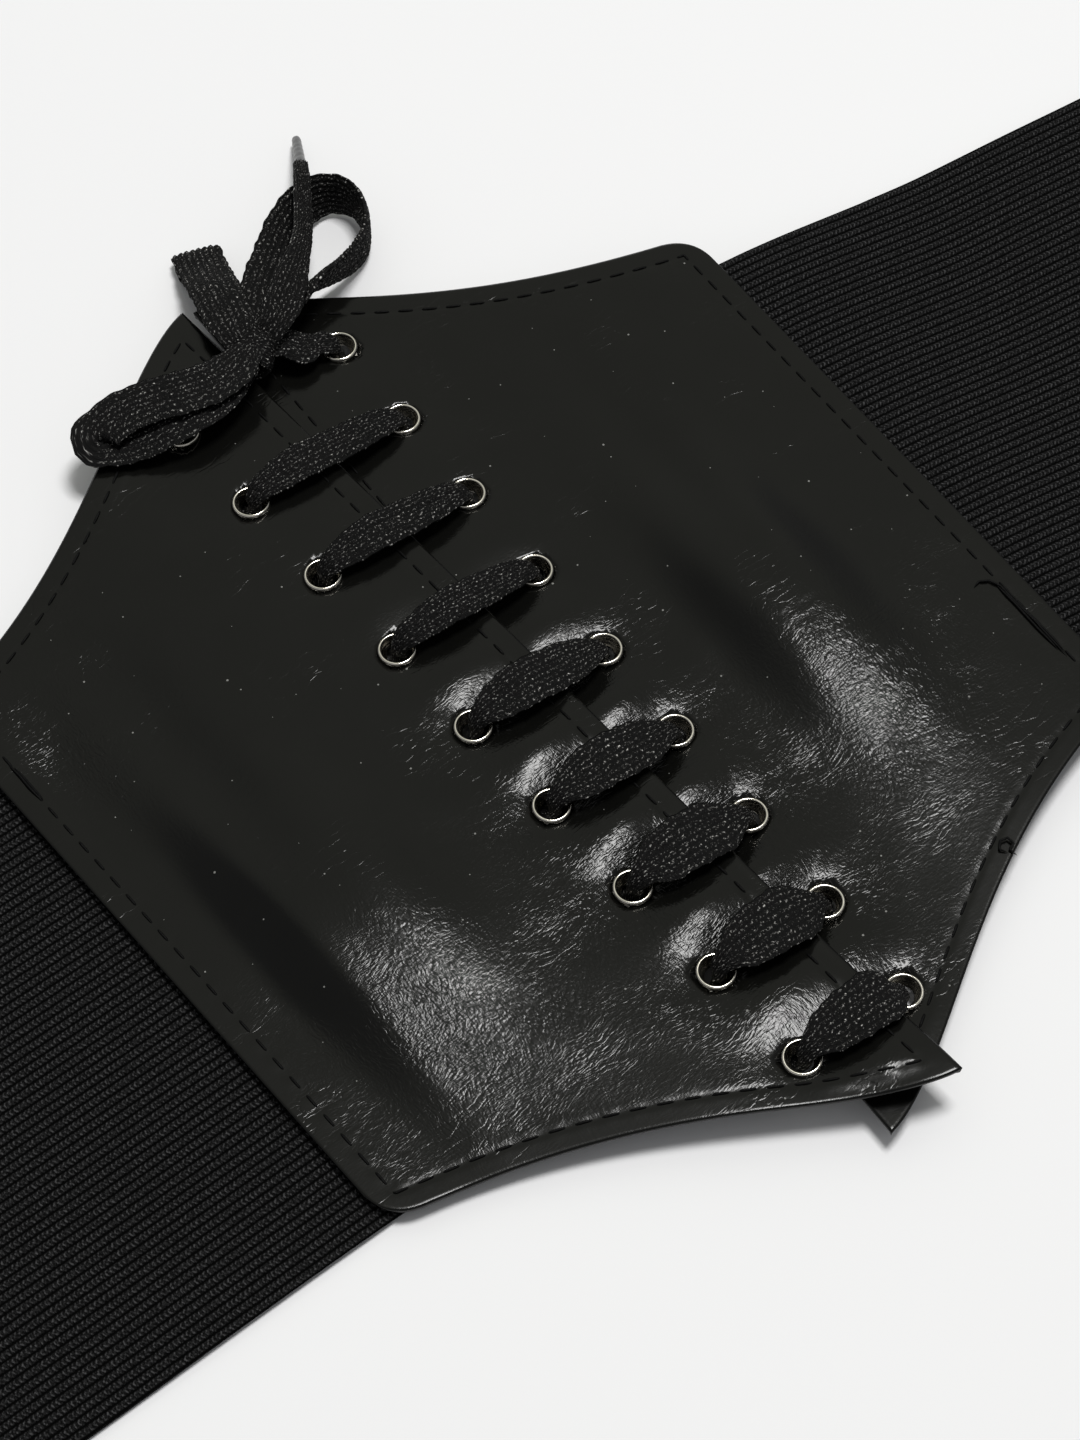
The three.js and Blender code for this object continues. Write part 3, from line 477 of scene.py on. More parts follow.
def elastic_material():
    shader = Shader("ribbed_elastic", (0.004, 0.004, 0.004), 0.85, specular=0.05)
    vector, along, across = shader.weave()
    rib = shader.math("FRACT", shader.math("DIVIDE", across, RIB_PITCH))
    from_crest = shader.math("ABSOLUTE", shader.minus(rib, 0.5))
    jitter = shader.noise(vector, (0.9, 0.9, 1), 0.0, 1.0)
    phase = shader.math("ADD", shader.math("DIVIDE", along, KNIT_PITCH), shader.times(from_crest, 1.9))
    phase = shader.math("ADD", phase, shader.times(jitter, 0.3))
    stitch = shader.ramp(shader.math("SINE", shader.times(phase, 2 * math.pi)), 0.22, 1.0, -0.6, 0.9)
    loops = shader.times(stitch, shader.ramp(from_crest, 1.0, 0.0, 0.17, 0.27))
    fibres = shader.noise(vector, (3.4, 3.4, 1), 0.5, 1.0)
    # Painted sheen: the loop pattern is the knit's own, but its brightness near each rib's crest is painted
    # light where the fibres would catch it
    fibre_sheen = shader.ramp(fibres, 0.15, 1.0, 0.42, 0.66)
    # Painted shade: the grooves between the ribs are coloured near black
    groove_shade = shader.ramp(from_crest, 0.0, 1.0, 0.24, 0.3)
    shader.bump(loops, 0.25)
    color = shader.blend(shader.times(loops, fibre_sheen), (0.0006, 0.0006, 0.0006), (0.062, 0.062, 0.0635))
    shader.color(shader.blend(groove_shade, color, (0.0002, 0.0002, 0.0002)))
    return shader.material


def lace_material():
    shader = Shader("braided_lace", (0.01, 0.01, 0.01), 0.8, specular=0.2)
    vector, _, _ = shader.weave()
    yarn, other = (shader.noise(vector, (1.9, 2.3, 1), turn, 1.5, roughness=0.6) for turn in (0.5, -0.6))
    mixed = shader.math("MAXIMUM", yarn, other)
    shader.bump(mixed, 0.5)
    # Painted glints: bright specks of colour on the braid where its yarns would catch the light
    glint = shader.ramp(mixed, 0.0, 1.0, 0.57, 0.74)
    color = shader.blend(shader.times(glint, glint), (0.0012, 0.0012, 0.0011), (0.75, 0.735, 0.7))
    # Painted shade: the lace's colour goes near black in the hollows between its yarns
    hollow_shade = shader.ramp(shader.attribute("hollow_shade"), 0.0, 1.0, 0.05, 0.7)
    shader.color(shader.blend(hollow_shade, color, (0.0006, 0.0006, 0.0006)))
    return shader.material


def thread_material():
    shader = Shader("black_thread", (0.002, 0.002, 0.002), 0.6, specular=0.1)
    ply = shader.noise(shader.place(), (2.5, 2.5, 2.5))
    shader.bump(ply, 0.15)
    shader.color(shader.blend(ply, (0.0008, 0.0008, 0.0008), (0.004, 0.004, 0.004)))
    return shader.material


def metal_material(name, color):
    shader = Shader(name, color, 0.16, metallic=1.0)
    smudge = shader.noise(shader.place(), (0.4, 0.4, 0.4), 0.0, 3.0)
    shader.roughness(shader.ramp(smudge, 0.1, 0.26, 0.35, 0.65))
    shader.bump(smudge, 0.02)
    return shader.material


def aglet_material():
    shader = Shader("aglet_sheath", (0.02, 0.02, 0.02), 0.3)
    wrap = shader.noise(shader.place(), (0.8, 0.8, 0.8))
    shader.color(shader.blend(wrap, (0.012, 0.012, 0.012), (0.04, 0.04, 0.04)))
    shader.bump(wrap, 0.08)
    return shader.material


LEATHER = leather_material()
CUT_EDGE = cut_edge_material()
LINING = lining_material()
KNIT = elastic_material()
BRAID = lace_material()
THREAD = thread_material()
NICKEL = metal_material("warm_nickel", (0.83, 0.79, 0.70))
PLATE = metal_material("plate_nickel", (0.72, 0.71, 0.68))
SHEATH = aglet_material()
FLOOR = Shader("pale_floor", (0.857, 0.857, 0.868), 0.9, specular=0.1).material


# Leather panels

HALF_HEIGHT = CENTRE_HEIGHT / 2
EDGE_BAND = 9.0
EDGE_STEP = 0.45
MIDDLE_STEP = 1.1
HOLE_CUT = 3.2
HOLE_SNAP_IN = 0.4
HOLE_SNAP_OUT = 0.55
MIDDLE_ROWS = 170
CORNER_COLUMNS = 13


def panel_half(out):
    """Half of the panel's height at a distance out, with the rounded side corners."""
    out = np.asarray(out, float)
    straight = PANEL_WIDTH - CORNER_RADIUS
    plain = HALF_HEIGHT - edge_fall(out)
    turn = 1 - np.sqrt(np.clip(1 - (out - straight) / CORNER_RADIUS, 0, 1))
    start = HALF_HEIGHT - edge_fall(straight)
    corner = SIDE_HEIGHT / 2
    curved = (1 - turn) ** 2 * start + 2 * turn * (1 - turn) * corner + turn**2 * (corner - CORNER_RADIUS)
    return np.where(out > straight, curved, plain)


def outline_points():
    out = np.concatenate([np.linspace(0, PANEL_WIDTH - CORNER_RADIUS, 80),
                          PANEL_WIDTH - CORNER_RADIUS * (1 - np.linspace(0, 1, 12)[1:]) ** 2])
    half = panel_half(out)
    top = np.stack([out, half], axis=-1)
    bottom = np.stack([out, -half], axis=-1)[::-1]
    return np.concatenate([top, bottom, top[:1]])


def stitch_line():
    """The seam's line, a fixed margin inside the outline, running to sharp corners."""
    out = np.linspace(STITCH_MARGIN, PANEL_WIDTH - STITCH_MARGIN, 80)
    slope = np.gradient(edge_fall(out), out)
    half = HALF_HEIGHT - edge_fall(out) - STITCH_MARGIN * np.sqrt(1 + slope**2)
    top = np.stack([out, half], axis=-1)
    bottom = np.stack([out, -half], axis=-1)[::-1]
    return np.concatenate([top, bottom, top[:1]])


def line_distance(line, out, up):
    """Distance of points to a closed line, and how far along it the nearest place is."""
    out, up = np.broadcast_arrays(np.asarray(out, float), np.asarray(up, float))
    points = np.stack([out.ravel(), up.ravel()], axis=-1)
    start, step = line[:-1], np.diff(line, axis=0)
    length = np.linalg.norm(step, axis=1)
    run = np.concatenate([[0], np.cumsum(length)[:-1]])
    best = np.full(len(points), 1e9)
    along = np.zeros(len(points))
    for corner, way, reach, before in zip(start, step, length, run):
        if reach == 0:
            continue
        t = np.clip(((points - corner) @ way) / reach**2, 0, 1)
        distance = np.linalg.norm(points - corner - t[:, None] * way, axis=1)
        nearer = distance < best
        best = np.where(nearer, distance, best)
        along = np.where(nearer, before + t * reach, along)
    return best.reshape(out.shape), along.reshape(out.shape)


OUTLINE = outline_points()
SEAM = stitch_line()

# Creases of the leather on each panel: from (out, up) to (out, up), width and depth
CREASES = {
    "left": [
        (58, -5, 40, -14, 0.5, -0.06), (40, -14, 21, -27, 0.5, -0.05), (74, -3, 50, -12, 0.5, -0.05),
        (80, 52, 60, 47, 0.7, -0.08),
    ],
    "right": [
        (43, -17, 56, -18, 0.45, -0.09), (44, -19.5, 54, -20.5, 0.45, -0.07), (30, -12, 44, -8, 0.5, -0.04),
        (22, 4, 34, 2, 0.5, -0.04),
    ],
}

# Shallow dips of the leather, in mm
DIPS = {
    "left": [
        dict(out=58, up=22, spread_out=7, spread_up=30, depth=0.8),
        dict(out=78, up=34, spread_out=7, spread_up=16, depth=0.7),
        dict(out=27, up=72, spread_out=9, spread_up=9, depth=0.7),
        dict(out=38, up=-8, spread_out=6, spread_up=26, depth=0.35),
    ],
    "right": [
        dict(out=50, up=24, spread_out=6, spread_up=24, depth=0.8),
        dict(out=72, up=4, spread_out=9, spread_up=22, depth=0.4),
        dict(out=28, up=60, spread_out=7, spread_up=14, depth=0.35),
    ],
}

# Depths and spreads of the finished leather's small forms, in mm
SEAM_DEPTH = 0.08
SEAM_PUCKER = 0.03
EDGE_ROLL = 0.12
UNEVENNESS = 0.03
SEAT_DEPTH = 0.15
SEAT_SPREAD = 4.6
PLEAT_DEPTH = 0.035
FINE_PLEAT_DEPTH = 0.02
PLEAT_RING = 6.0
BULGE_RISE = 1.05
BULGE_OUT = 11.5
BULGE_SPREAD = 8.0

# Share of the CAD pucker that gives way to the bulges
PUCKER_EASED = 0.85

# How much the leather bulges between the eyelets at each row
LIVELY = [0.05, 0.05, 0.1, 0.4, 0.9, 1.15, 1.2, 1.0, 0.5]

# How wrinkled the leather is everywhere, more on its lower half and more round the laced eyelets
GRAIN_ALL = 0.09
GRAIN_LOWER = 0.12
GRAIN_LACED = 0.4

# Places whose leather is more wrinkled, in mm
WORN = {
    "left": [
        dict(out=72, up=42, spread=20, grain=0.6),
        dict(out=56, up=-42, spread=22, grain=0.5),
    ],
    "right": [
        dict(out=48, up=-40, spread=18, grain=0.5),
        dict(out=62, up=-30, spread=18, grain=0.25),
    ],
}

rng = np.random.default_rng(11)
WAVES = [
    (rng.uniform(-1, 1), rng.uniform(-1, 1), rng.uniform(9, 26), rng.uniform(0, 6.28)) for _ in range(14)
]
PLEATS = {
    side: [(rng.uniform(0, 6.28), rng.integers(6, 10), rng.uniform(0.6, 1.3)) for _ in range(ROWS)]
    for side in ("left", "right")
}


def undulation(out, up):
    """A soft random unevenness of the leather, about -1 to 1."""
    total = np.zeros(np.broadcast(out, up).shape)
    for a, b, pitch, phase in WAVES:
        norm = math.hypot(a, b) + 1e-6
        total = total + np.sin((a * out + b * up) / norm * 2 * math.pi / pitch + phase)
    return total / math.sqrt(len(WAVES))


def lively_at(up):
    return np.interp(up, [row_up(row) for row in range(ROWS, 0, -1)], LIVELY[::-1])


def crease(out, up, ends, width, depth):
    """Depth of one crease between two places, with a low bank on each side."""
    out_a, up_a, out_b, up_b = ends
    step = np.array([out_b - out_a, up_b - up_a], float)
    t = ((out - out_a) * step[0] + (up - up_a) * step[1]) / (step @ step)
    inside_t = np.clip(t, 0, 1)
    distance = np.hypot(out - out_a - inside_t * step[0], up - up_a - inside_t * step[1])
    fade = smooth_step(t, -0.15, 0.25) * (1 - smooth_step(t, 0.75, 1.15))
    bank = np.exp(-(((distance - 1.8 * width) / width) ** 2))
    return depth * fade * (np.exp(-((distance / width) ** 2)) - 0.6 * bank)


def leather_surface(side, out, up):
    """Height of the finished leather's top face: the CAD face with its seams, puckers and creases."""
    edge, _ = line_distance(OUTLINE, out, up)
    seam, run = line_distance(SEAM, out, up)
    height = leather_top(side, out, up)
    height = height - SEAM_DEPTH * np.exp(-((seam / 0.6) ** 2))
    height = height - SEAM_PUCKER * np.exp(-((seam / 1.2) ** 2)) * np.cos(run / STITCH_PITCH * 2 * math.pi)
    height = height - EDGE_ROLL * np.clip(1 - edge / 0.5, 0, 1) ** 2
    inside = smooth_step(edge, STITCH_MARGIN, STITCH_MARGIN + 3)
    height = height + UNEVENNESS * inside * undulation(out, up)
    for row in range(1, ROWS + 1):
        phase, pleats, strength = PLEATS[side["name"]][row - 1]
        dx, dy = out - EYELET_INSET, up - row_up(row)
        radius = np.hypot(dx, dy)
        angle = np.arctan2(dy, dx)
        height = height - SEAT_DEPTH * np.exp(-((radius / SEAT_SPREAD) ** 4))
        fan = PLEAT_DEPTH * strength * np.cos(pleats * angle + phase)
        fan = fan + FINE_PLEAT_DEPTH * np.cos(2.3 * pleats * angle - phase)
        height = height + LIVELY[row - 1] * fan * np.exp(-(((radius - PLEAT_RING) / 2.0) ** 2))
    height = height - PUCKER_EASED * pucker(out, up)
    bulge = np.exp(-(((out - BULGE_OUT) / BULGE_SPREAD) ** 2)) * smooth_step(edge, 1.0, 5.0)
    height = height + BULGE_RISE * lively_at(up) * between_rows(up) * bulge
    for dip in DIPS[side["name"]]:
        out_share = (out - dip["out"]) / dip["spread_out"]
        up_share = (up - dip["up"]) / dip["spread_up"]
        height = height - inside * dip["depth"] * np.exp(-(out_share**2) - up_share**2)
    for *ends, width, depth in CREASES[side["name"]]:
        height = height + crease(out, up, ends, width, depth)
    return height


def spaced(low, high, step):
    return np.linspace(low, high, max(int(round(abs(high - low) / step)), 1) + 1)


def panel_places():
    """(out, up) of a panel's grid: closer rows and columns along the edges."""
    straight = PANEL_WIDTH - CORNER_RADIUS
    turn = (1 - np.linspace(0, 1, CORNER_COLUMNS + 1)[1:]) ** 2
    columns = np.concatenate([
        spaced(0, EDGE_BAND, EDGE_STEP)[:-1],
        spaced(EDGE_BAND, straight, MIDDLE_STEP),
        PANEL_WIDTH - CORNER_RADIUS * turn,
    ])
    half = panel_half(columns)
    band = spaced(0, EDGE_BAND, EDGE_STEP)
    middle = np.linspace(0, 1, MIDDLE_ROWS + 2)[1:-1]
    rows = [half - d for d in band]
    rows += [(half - EDGE_BAND) * (1 - 2 * share) for share in middle]
    rows += [-(half - d) for d in band[::-1]]
    up = np.stack(rows)
    out = np.broadcast_to(columns, up.shape)
    return out.copy(), up


def make_panel(side):
    out, up = panel_places()
    rows, columns = out.shape
    cut = np.zeros(out.shape, bool)
    for row in range(1, ROWS + 1):
        dx, dy = out - EYELET_INSET, up - row_up(row)
        radius = np.hypot(dx, dy)
        near = radius < HOLE_CUT + HOLE_SNAP_OUT
        inside = radius < HOLE_CUT - HOLE_SNAP_IN
        snap = near & ~inside
        scale = np.where(snap, HOLE_CUT / np.maximum(radius, 1e-6), 1)
        out = np.where(snap, EYELET_INSET + dx * scale, out)
        up = np.where(snap, row_up(row) + dy * scale, up)
        cut |= inside
    height = leather_surface(side, out, up)
    points = on_panel(side, out, up, height).reshape(-1, 3)
    faces = grid_faces(rows, columns)
    faces = faces[~cut.ravel()[faces].any(axis=1)]
    if side["sign"] > 0:
        faces = faces[:, ::-1]
    edge, _ = line_distance(OUTLINE, out, up)
    distances = [np.hypot(out - EYELET_INSET, up - row_up(row)) for row in range(1, ROWS + 1)]
    near_row = np.min(distances, axis=0)
    grain = GRAIN_ALL + GRAIN_LOWER * (1 - smooth_step(up, -26, 4))
    grain = grain + GRAIN_LACED * lively_at(up) * np.exp(-(((near_row - 6) / 7) ** 2))
    for worn in WORN[side["name"]]:
        grain = grain + worn["grain"] * np.exp(-((out - worn["out"]) / worn["spread"]) ** 2
                                               - ((up - worn["up"]) / worn["spread"]) ** 2)
    grain = grain * (0.7 + 0.3 * smooth_step(undulation(out * 0.6 + 31, up * 0.6), -0.8, 0.7))
    grain = grain * (0.25 + 0.75 * smooth_step(edge, STITCH_MARGIN - 0.5, STITCH_MARGIN + 1.5))
    dull = (1 - smooth_step(up, -30, 0)) * smooth_step(out, 26, 38)
    uvs = np.stack([out, up], axis=-1).reshape(-1, 2) / UV_UNIT
    used = np.unique(faces)
    number = np.full(rows * columns, -1)
    number[used] = np.arange(len(used))
    piece = add_mesh(f"leather_{side['name']}", points[used], number[faces], [LEATHER, LINING, CUT_EDGE],
                     uvs=uvs[used], attributes={"grain": grain.ravel()[used], "dull": dull.ravel()[used]})
    thick = thicken(piece, LEATHER_THICKNESS, -1)
    thick.material_offset = 1
    thick.material_offset_rim = 2
    apply_modifiers(piece)
    return finish_piece(piece, "leather", f"panel_{side['name']}")


def apply_modifiers(piece):
    """Bakes a piece's modifiers into its mesh."""
    bpy.context.view_layer.update()
    evaluated = piece.evaluated_get(bpy.context.evaluated_depsgraph_get())
    mesh = bpy.data.meshes.new_from_object(evaluated)
    piece.modifiers.clear()
    old = piece.data
    piece.data = mesh
    bpy.data.meshes.remove(old)
    mesh.name = piece.name


def thread_parts(points, radius, sides=6):
    """Points and faces of a round-ended thread along a short line of points."""
    points = np.asarray(points, float)
    way = np.gradient(points, axis=0)
    way /= np.linalg.norm(way, axis=1)[:, None]
    side = np.cross(way, UP)
    side /= np.maximum(np.linalg.norm(side, axis=1), 1e-6)[:, None]
    over = np.cross(side, way)
    share = np.linspace(-1, 1, len(points))
    taper = np.clip(1 - np.abs(share) ** 6, 0.12, 1) * radius
    turn = np.arange(sides) / sides * 2 * math.pi
    ring = np.cos(turn)[None, :, None] * side[:, None, :] + np.sin(turn)[None, :, None] * over[:, None, :]
    cloud = (points[:, None, :] + ring * taper[:, None, None]).reshape(-1, 3)
    return cloud, tube_faces(len(points), sides)


def add_threads(name, parts, slot):
    """One piece from the points and faces of many threads."""
    clouds, faces, start = [], [], 0
    for cloud, own in parts:
        clouds.append(cloud)
        faces += [[start + i for i in face] for face in own]
        start += len(cloud)
    return finish_piece(add_mesh(name, np.concatenate(clouds), faces, [THREAD]), slot)


STITCH_LENGTH = 3.5
STITCH_RADIUS = 0.24
STITCH_RISE = 0.1
HEM_STITCH_PITCH = 3.2
HEM_STITCH_HALF = 1.25
HEM_STITCH_RADIUS = 0.26

# Threads sewn over twice where a seam starts, and loose ends: out, up and height over the leather in mm
LOOSE_THREADS = {
    "left": [
        [(82.2, 46, 0.2), (82.1, 43, 0.35), (82.2, 40, 0.35), (82.1, 37, 0.2)],
        [(81.8, 45, 0.2), (81.75, 42, 0.3), (81.8, 39, 0.3), (81.75, 36.5, 0.2)],
    ],
    "right": [
        [(77.6, -31.2, 0.2), (79, -30.8, 0.3), (80.6, -31.8, 0.4), (81.5, -33.8, 0.3), (81.4, -38, 0.35),
         (81.6, -43, 0.35), (81.4, -48, 0.35), (81.5, -52, 0.2)],
        [(81.1, -33, 0.2), (81.15, -38, 0.3), (81.0, -44, 0.3), (81.1, -50, 0.2)],
        [(81.9, -34, 0.2), (81.8, -40, 0.3), (81.9, -46, 0.3), (81.8, -51, 0.2)],
        [(48, -76.2, 0.2), (47.2, -75, 0.6), (48.2, -73.9, 0.8), (49.6, -74.2, 0.8), (49.8, -75.6, 0.6),
         (48.6, -76, 0.5), (48.9, -77.6, 0.3)],
    ],
}


def run_along(line):
    """How far along a line each of its points is."""
    return np.concatenate([[0], np.cumsum(np.linalg.norm(np.diff(line, axis=0), axis=1))])


def walk(line, distances):
    """Places at the given distances along a line, and its length."""
    run = run_along(line)
    return np.stack([np.interp(distances, run, values) for values in line.T], axis=-1), run[-1]


def make_stitches(side):
    parts = []
    _, total = walk(SEAM, [0])
    count = int(total / STITCH_PITCH)
    pitch = total / count
    share = np.linspace(-1, 1, 7)
    for i in range(count):
        middle = (i + 0.5) * pitch
        places, _ = walk(SEAM, np.clip(middle + share / 2 * STITCH_LENGTH, 0, total))
        height = leather_surface(side, places[:, 0], places[:, 1]) + STITCH_RISE - 0.4 * np.abs(share) ** 4
        points = on_panel(side, places[:, 0], places[:, 1], height)
        parts.append(thread_parts(points, STITCH_RADIUS))
    for route in LOOSE_THREADS[side["name"]]:
        route = np.array(route, float)
        knots = np.linspace(0, 1, len(route))
        at = np.linspace(0, 1, 8 * len(route))
        out, up, above = (np.interp(at, knots, route[:, i]) for i in range(3))
        height = leather_surface(side, out, up) + above
        parts.append(thread_parts(on_panel(side, out, up, height), STITCH_RADIUS))
    return add_threads(f"stitches_{side['name']}", parts, "leather")


PANELS = {side["name"]: make_panel(side) for side in (LEFT, RIGHT)}
STITCHES = {side["name"]: make_stitches(side) for side in (LEFT, RIGHT)}


# Elastics

ELASTIC_LENGTH = ELASTIC_TUCK + ELASTIC_REACH
HEM_TOP = 2 * ELASTIC_WALL + SEAT
KNIT_THICKNESS = 1.3
RIB_RISE = 0.2
RIB_SAMPLES = 4
TURN_STEPS = 8
EDGE_EASE = 1.4
RIPPLE_RISE = 0.12
HEM_STITCH_INSET = 2.5
HEM_STITCH_MARGIN = 2.0

# Waves of the elastic's long edges: size, length for one radian, phase
EDGE_WAVES = [(0.25, 31.0, 1.0), (0.15, 12.5, 0.0)]


def elastic_frame(side):
    """Where an elastic starts under its panel, and its directions along and across."""
    turn = math.radians(side["turn"])
    along = np.array([side["sign"] * math.cos(turn), math.sin(turn), 0.0])
    start = on_panel(side, PANEL_WIDTH, 0.0, 0.0) - np.array([0, ELASTIC_DROP, 0]) - along * ELASTIC_TUCK
    return start, along, np.cross(along, UP)


def elastic_path(side):
    """How far out and how high the elastic's middle is, from the seam to the end of its folded hem."""
    hem_start = ELASTIC_LENGTH - HEM_LENGTH
    low, high = ELASTIC_WALL / 2, HEM_TOP - ELASTIC_WALL / 2
    middle = ELASTIC_LENGTH - HEM_LENGTH / 2
    slit = [middle - SLIT_WIDTH / 2, middle + SLIT_WIDTH / 2]
    radius = (high - low) / 2
    turn_start = ELASTIC_LENGTH - ELASTIC_WALL / 2 - radius
    out = np.concatenate([
        spaced(0, hem_start - HEM_RAMP, 2.6)[:-1], spaced(hem_start - HEM_RAMP, hem_start, 1.0)[:-1],
        spaced(hem_start, slit[0], 2.0)[:-1], slit, spaced(slit[1], turn_start, 2.0)[1:],
    ])
    lift = side["side_lift"] * (1 - smooth_step(out, ELASTIC_TUCK, ELASTIC_TUCK + LIFT_REACH))
    height = low + lift + (high - low) * smooth_step(out, hem_start - HEM_RAMP, hem_start)
    angle = np.linspace(0, math.pi, TURN_STEPS + 1)[1:]
    back = np.concatenate([spaced(turn_start, slit[1], 2.0)[1:-1], slit[::-1],
                           spaced(slit[0], hem_start + SEAT, 2.0)[1:]])
    out = np.concatenate([out, turn_start + radius * np.sin(angle), back])
    height = np.concatenate([height, (low + high) / 2 + radius * np.cos(angle), np.full(len(back), low)])
    return out, height, slit


def make_elastic(side, buttonhole):
    start, along, across_way = elastic_frame(side)
    out, height, slit = elastic_path(side)
    ribs = int(ELASTIC_WIDTH / RIB_PITCH)
    across = np.linspace(-0.5, 0.5, ribs * RIB_SAMPLES + 1) * ribs * RIB_PITCH
    keep = np.abs(across) <= ELASTIC_WIDTH / 2
    across = across[keep]
    way_out, way_up = np.gradient(out), np.gradient(height)
    norm = np.hypot(way_out, way_up)
    lean_out, lean_up = -way_up / norm, way_out / norm
    wave = RIB_RISE * np.cos(2 * math.pi * (across / RIB_PITCH + 0.5 * (ribs % 2)) + math.pi)
    edge = 1 - smooth_step(np.abs(across), ELASTIC_WIDTH / 2 - EDGE_EASE, ELASTIC_WIDTH / 2)
    sway = sum(size * np.sin(out / length + phase) for size, length, phase in EDGE_WAVES)
    ripple = RIPPLE_RISE * np.sin(out[:, None] / 7.3 + across[None, :] / 9.1) * np.sin(out[:, None] / 19 + 2)
    rise = wave[None, :] * edge[None, :] + ripple * (height < ELASTIC_WALL)[:, None]
    place_out = out[:, None] + rise * lean_out[:, None]
    place_up = height[:, None] + rise * lean_up[:, None]
    side_shift = across[None, :] + sway[:, None] * (1 - edge)[None, :]
    points = (start + place_out[..., None] * along + side_shift[..., None] * across_way
              + place_up[..., None] * UP)
    run = np.concatenate([[0], np.cumsum(np.hypot(np.diff(out), np.diff(height)))])
    uvs = np.stack(np.broadcast_arrays(run[:, None], across[None, :] + RIB_PITCH * 50), axis=-1)
    faces = grid_faces(len(out), len(across))
    if buttonhole:
        reach = (HOOK_WIDTH + SLIT_EASE) / 2
        row, column = faces[:, 0] // len(across), faces[:, 0] % len(across)
        in_slit = (out[row] > slit[0] - 0.01) & (out[row] < slit[1] + 0.01)
        in_slit &= (out[row + 1] > slit[0] - 0.01) & (out[row + 1] < slit[1] + 0.01)
        in_slit &= (across[column] > -reach) & (across[column + 1] < reach)
        faces = faces[~in_slit]
    if np.cross(across_way, along)[2] < 0:
        faces = faces[:, ::-1]
    name = f"elastic_band_{side['name']}"
    piece = add_mesh(name, points.reshape(-1, 3), faces, [KNIT], uvs=uvs.reshape(-1, 2) / UV_UNIT)
    thicken(piece, KNIT_THICKNESS)
    apply_modifiers(piece)
    return finish_piece(piece, "elastic", f"elastic_{side['name']}")


def make_hem_stitches(side):
    """The line of stitches that holds the hem down."""
    start, along, across_way = elastic_frame(side)
    line_out = ELASTIC_LENGTH - HEM_LENGTH + HEM_STITCH_INSET
    count = int(ELASTIC_WIDTH / HEM_STITCH_PITCH)
    share = np.linspace(-1, 1, 5)
    height = HEM_TOP + STITCH_RISE - 0.35 * np.abs(share) ** 4
    parts = []
    for i in range(count):
        middle = ((i + 0.5) / count - 0.5) * (ELASTIC_WIDTH - 2 * HEM_STITCH_MARGIN)
        across = middle + share * HEM_STITCH_HALF
        points = start + line_out * along + across[:, None] * across_way + height[:, None] * UP
        parts.append(thread_parts(points, HEM_STITCH_RADIUS))
    return add_threads(f"hem_stitches_{side['name']}", parts, "elastic")


for side, buttonhole in ((LEFT, True), (RIGHT, False)):
    elastic = make_elastic(side, buttonhole)
    make_hem_stitches(side)


# Lace


def unit(vector):
    vector = np.asarray(vector, float)
    return vector / max(np.linalg.norm(vector), 1e-9)


def level(vector):
    return unit([vector[0], vector[1], 0.0])


def eyelet_seat(side, row):
    """The middle of the leather round an eyelet and the way it faces, as in the CAD part."""
    corners = {}
    for out_sign in (-1, 1):
        for up_sign in (-1, 1):
            out = EYELET_INSET + out_sign * FLAT_HALF
            up = row_up(row) + up_sign * ROW_PITCH / 6
            corners[out_sign, up_sign] = on_panel(side, out, up, leather_top(side, out, up))
    facing = unit(np.cross(corners[1, 1] - corners[-1, -1], corners[1, -1] - corners[-1, 1]))
    if facing[2] < 0:
        facing = -facing
    return sum(corners.values()) / 4, facing


def eyelet_at(step):
    return eyelet_seat(step[0], step[1])[0]


def run_height(side):
    back_roll = side["strip_top"] - PUCKER / 2 - PANEL_WALL - SEAT - BACK_ROLL
    return back_roll - SEAT - RUN_WALL / 2


def run_points(start_step, end_step):
    start, end = eyelet_at(start_step), eyelet_at(end_step)
    side, _, bow = end_step
    outwards = np.array([side["sign"] * math.cos(SPLAY), -math.sin(SPLAY), 0.0])
    points = []
    for share in (0.25, 0.5, 0.75):
        point = start + (end - start) * share + outwards * bow * RUN_BOW * math.sin(math.pi * share)
        near_right = panel_out(RIGHT, point[0], point[1]) > -RUN_WIDTH
        point[2] = run_height(RIGHT if near_right else LEFT)
        points.append(point)
    return points


def station(at, way, side, width, wall, shown):
    return dict(at=np.asarray(at, float), way=unit(way), side=unit(side), width=width, wall=wall,
                shown=shown, fold=0.0)


def through_eyelet(step, top_way, low_way):
    """Stations of the lace through one eyelet, from its top to its underside."""
    top = eyelet_at(step)
    top_side, low_side = np.cross(UP, top_way), np.cross(UP, low_way)
    if top_side @ low_side < 0:
        low_side = -low_side
    run_start = run_height(step[0])
    roll_bottom = run_start + RUN_WALL / 2 + SEAT

    def put(offset, height, way, side, width, wall, shown):
        return station([top[0] + offset[0], top[1] + offset[1], height], way, side, width, wall, shown)

    in_hole = top_way * HOLE_LACE_SHIFT
    return [
        put(top_way * LIP_REACH, top[2] + LIP_HEIGHT, -top_way, top_side, LIP_WIDTH, HOLE_LACE_WALL, 1),
        put(in_hole, top[2] + SEAT + FLANGE_RISE * 0.6, -UP - top_way, top_side, HOLE_LACE_WIDTH,
            HOLE_LACE_WALL, 1),
        put(in_hole, (top[2] + roll_bottom) / 2, -UP, top_side + low_side, HOLE_LACE_WIDTH, HOLE_LACE_WALL, 0),
        put(low_way * 0.2, roll_bottom - 0.3, low_way - UP, low_side, HOLE_LACE_WIDTH, HOLE_LACE_WALL, 0),
        put(low_way * HOLE_RADIUS, run_start, low_way, low_side,
            (HOLE_LACE_WIDTH + RUN_WIDTH) / 2, RUN_WALL, 0),
    ]


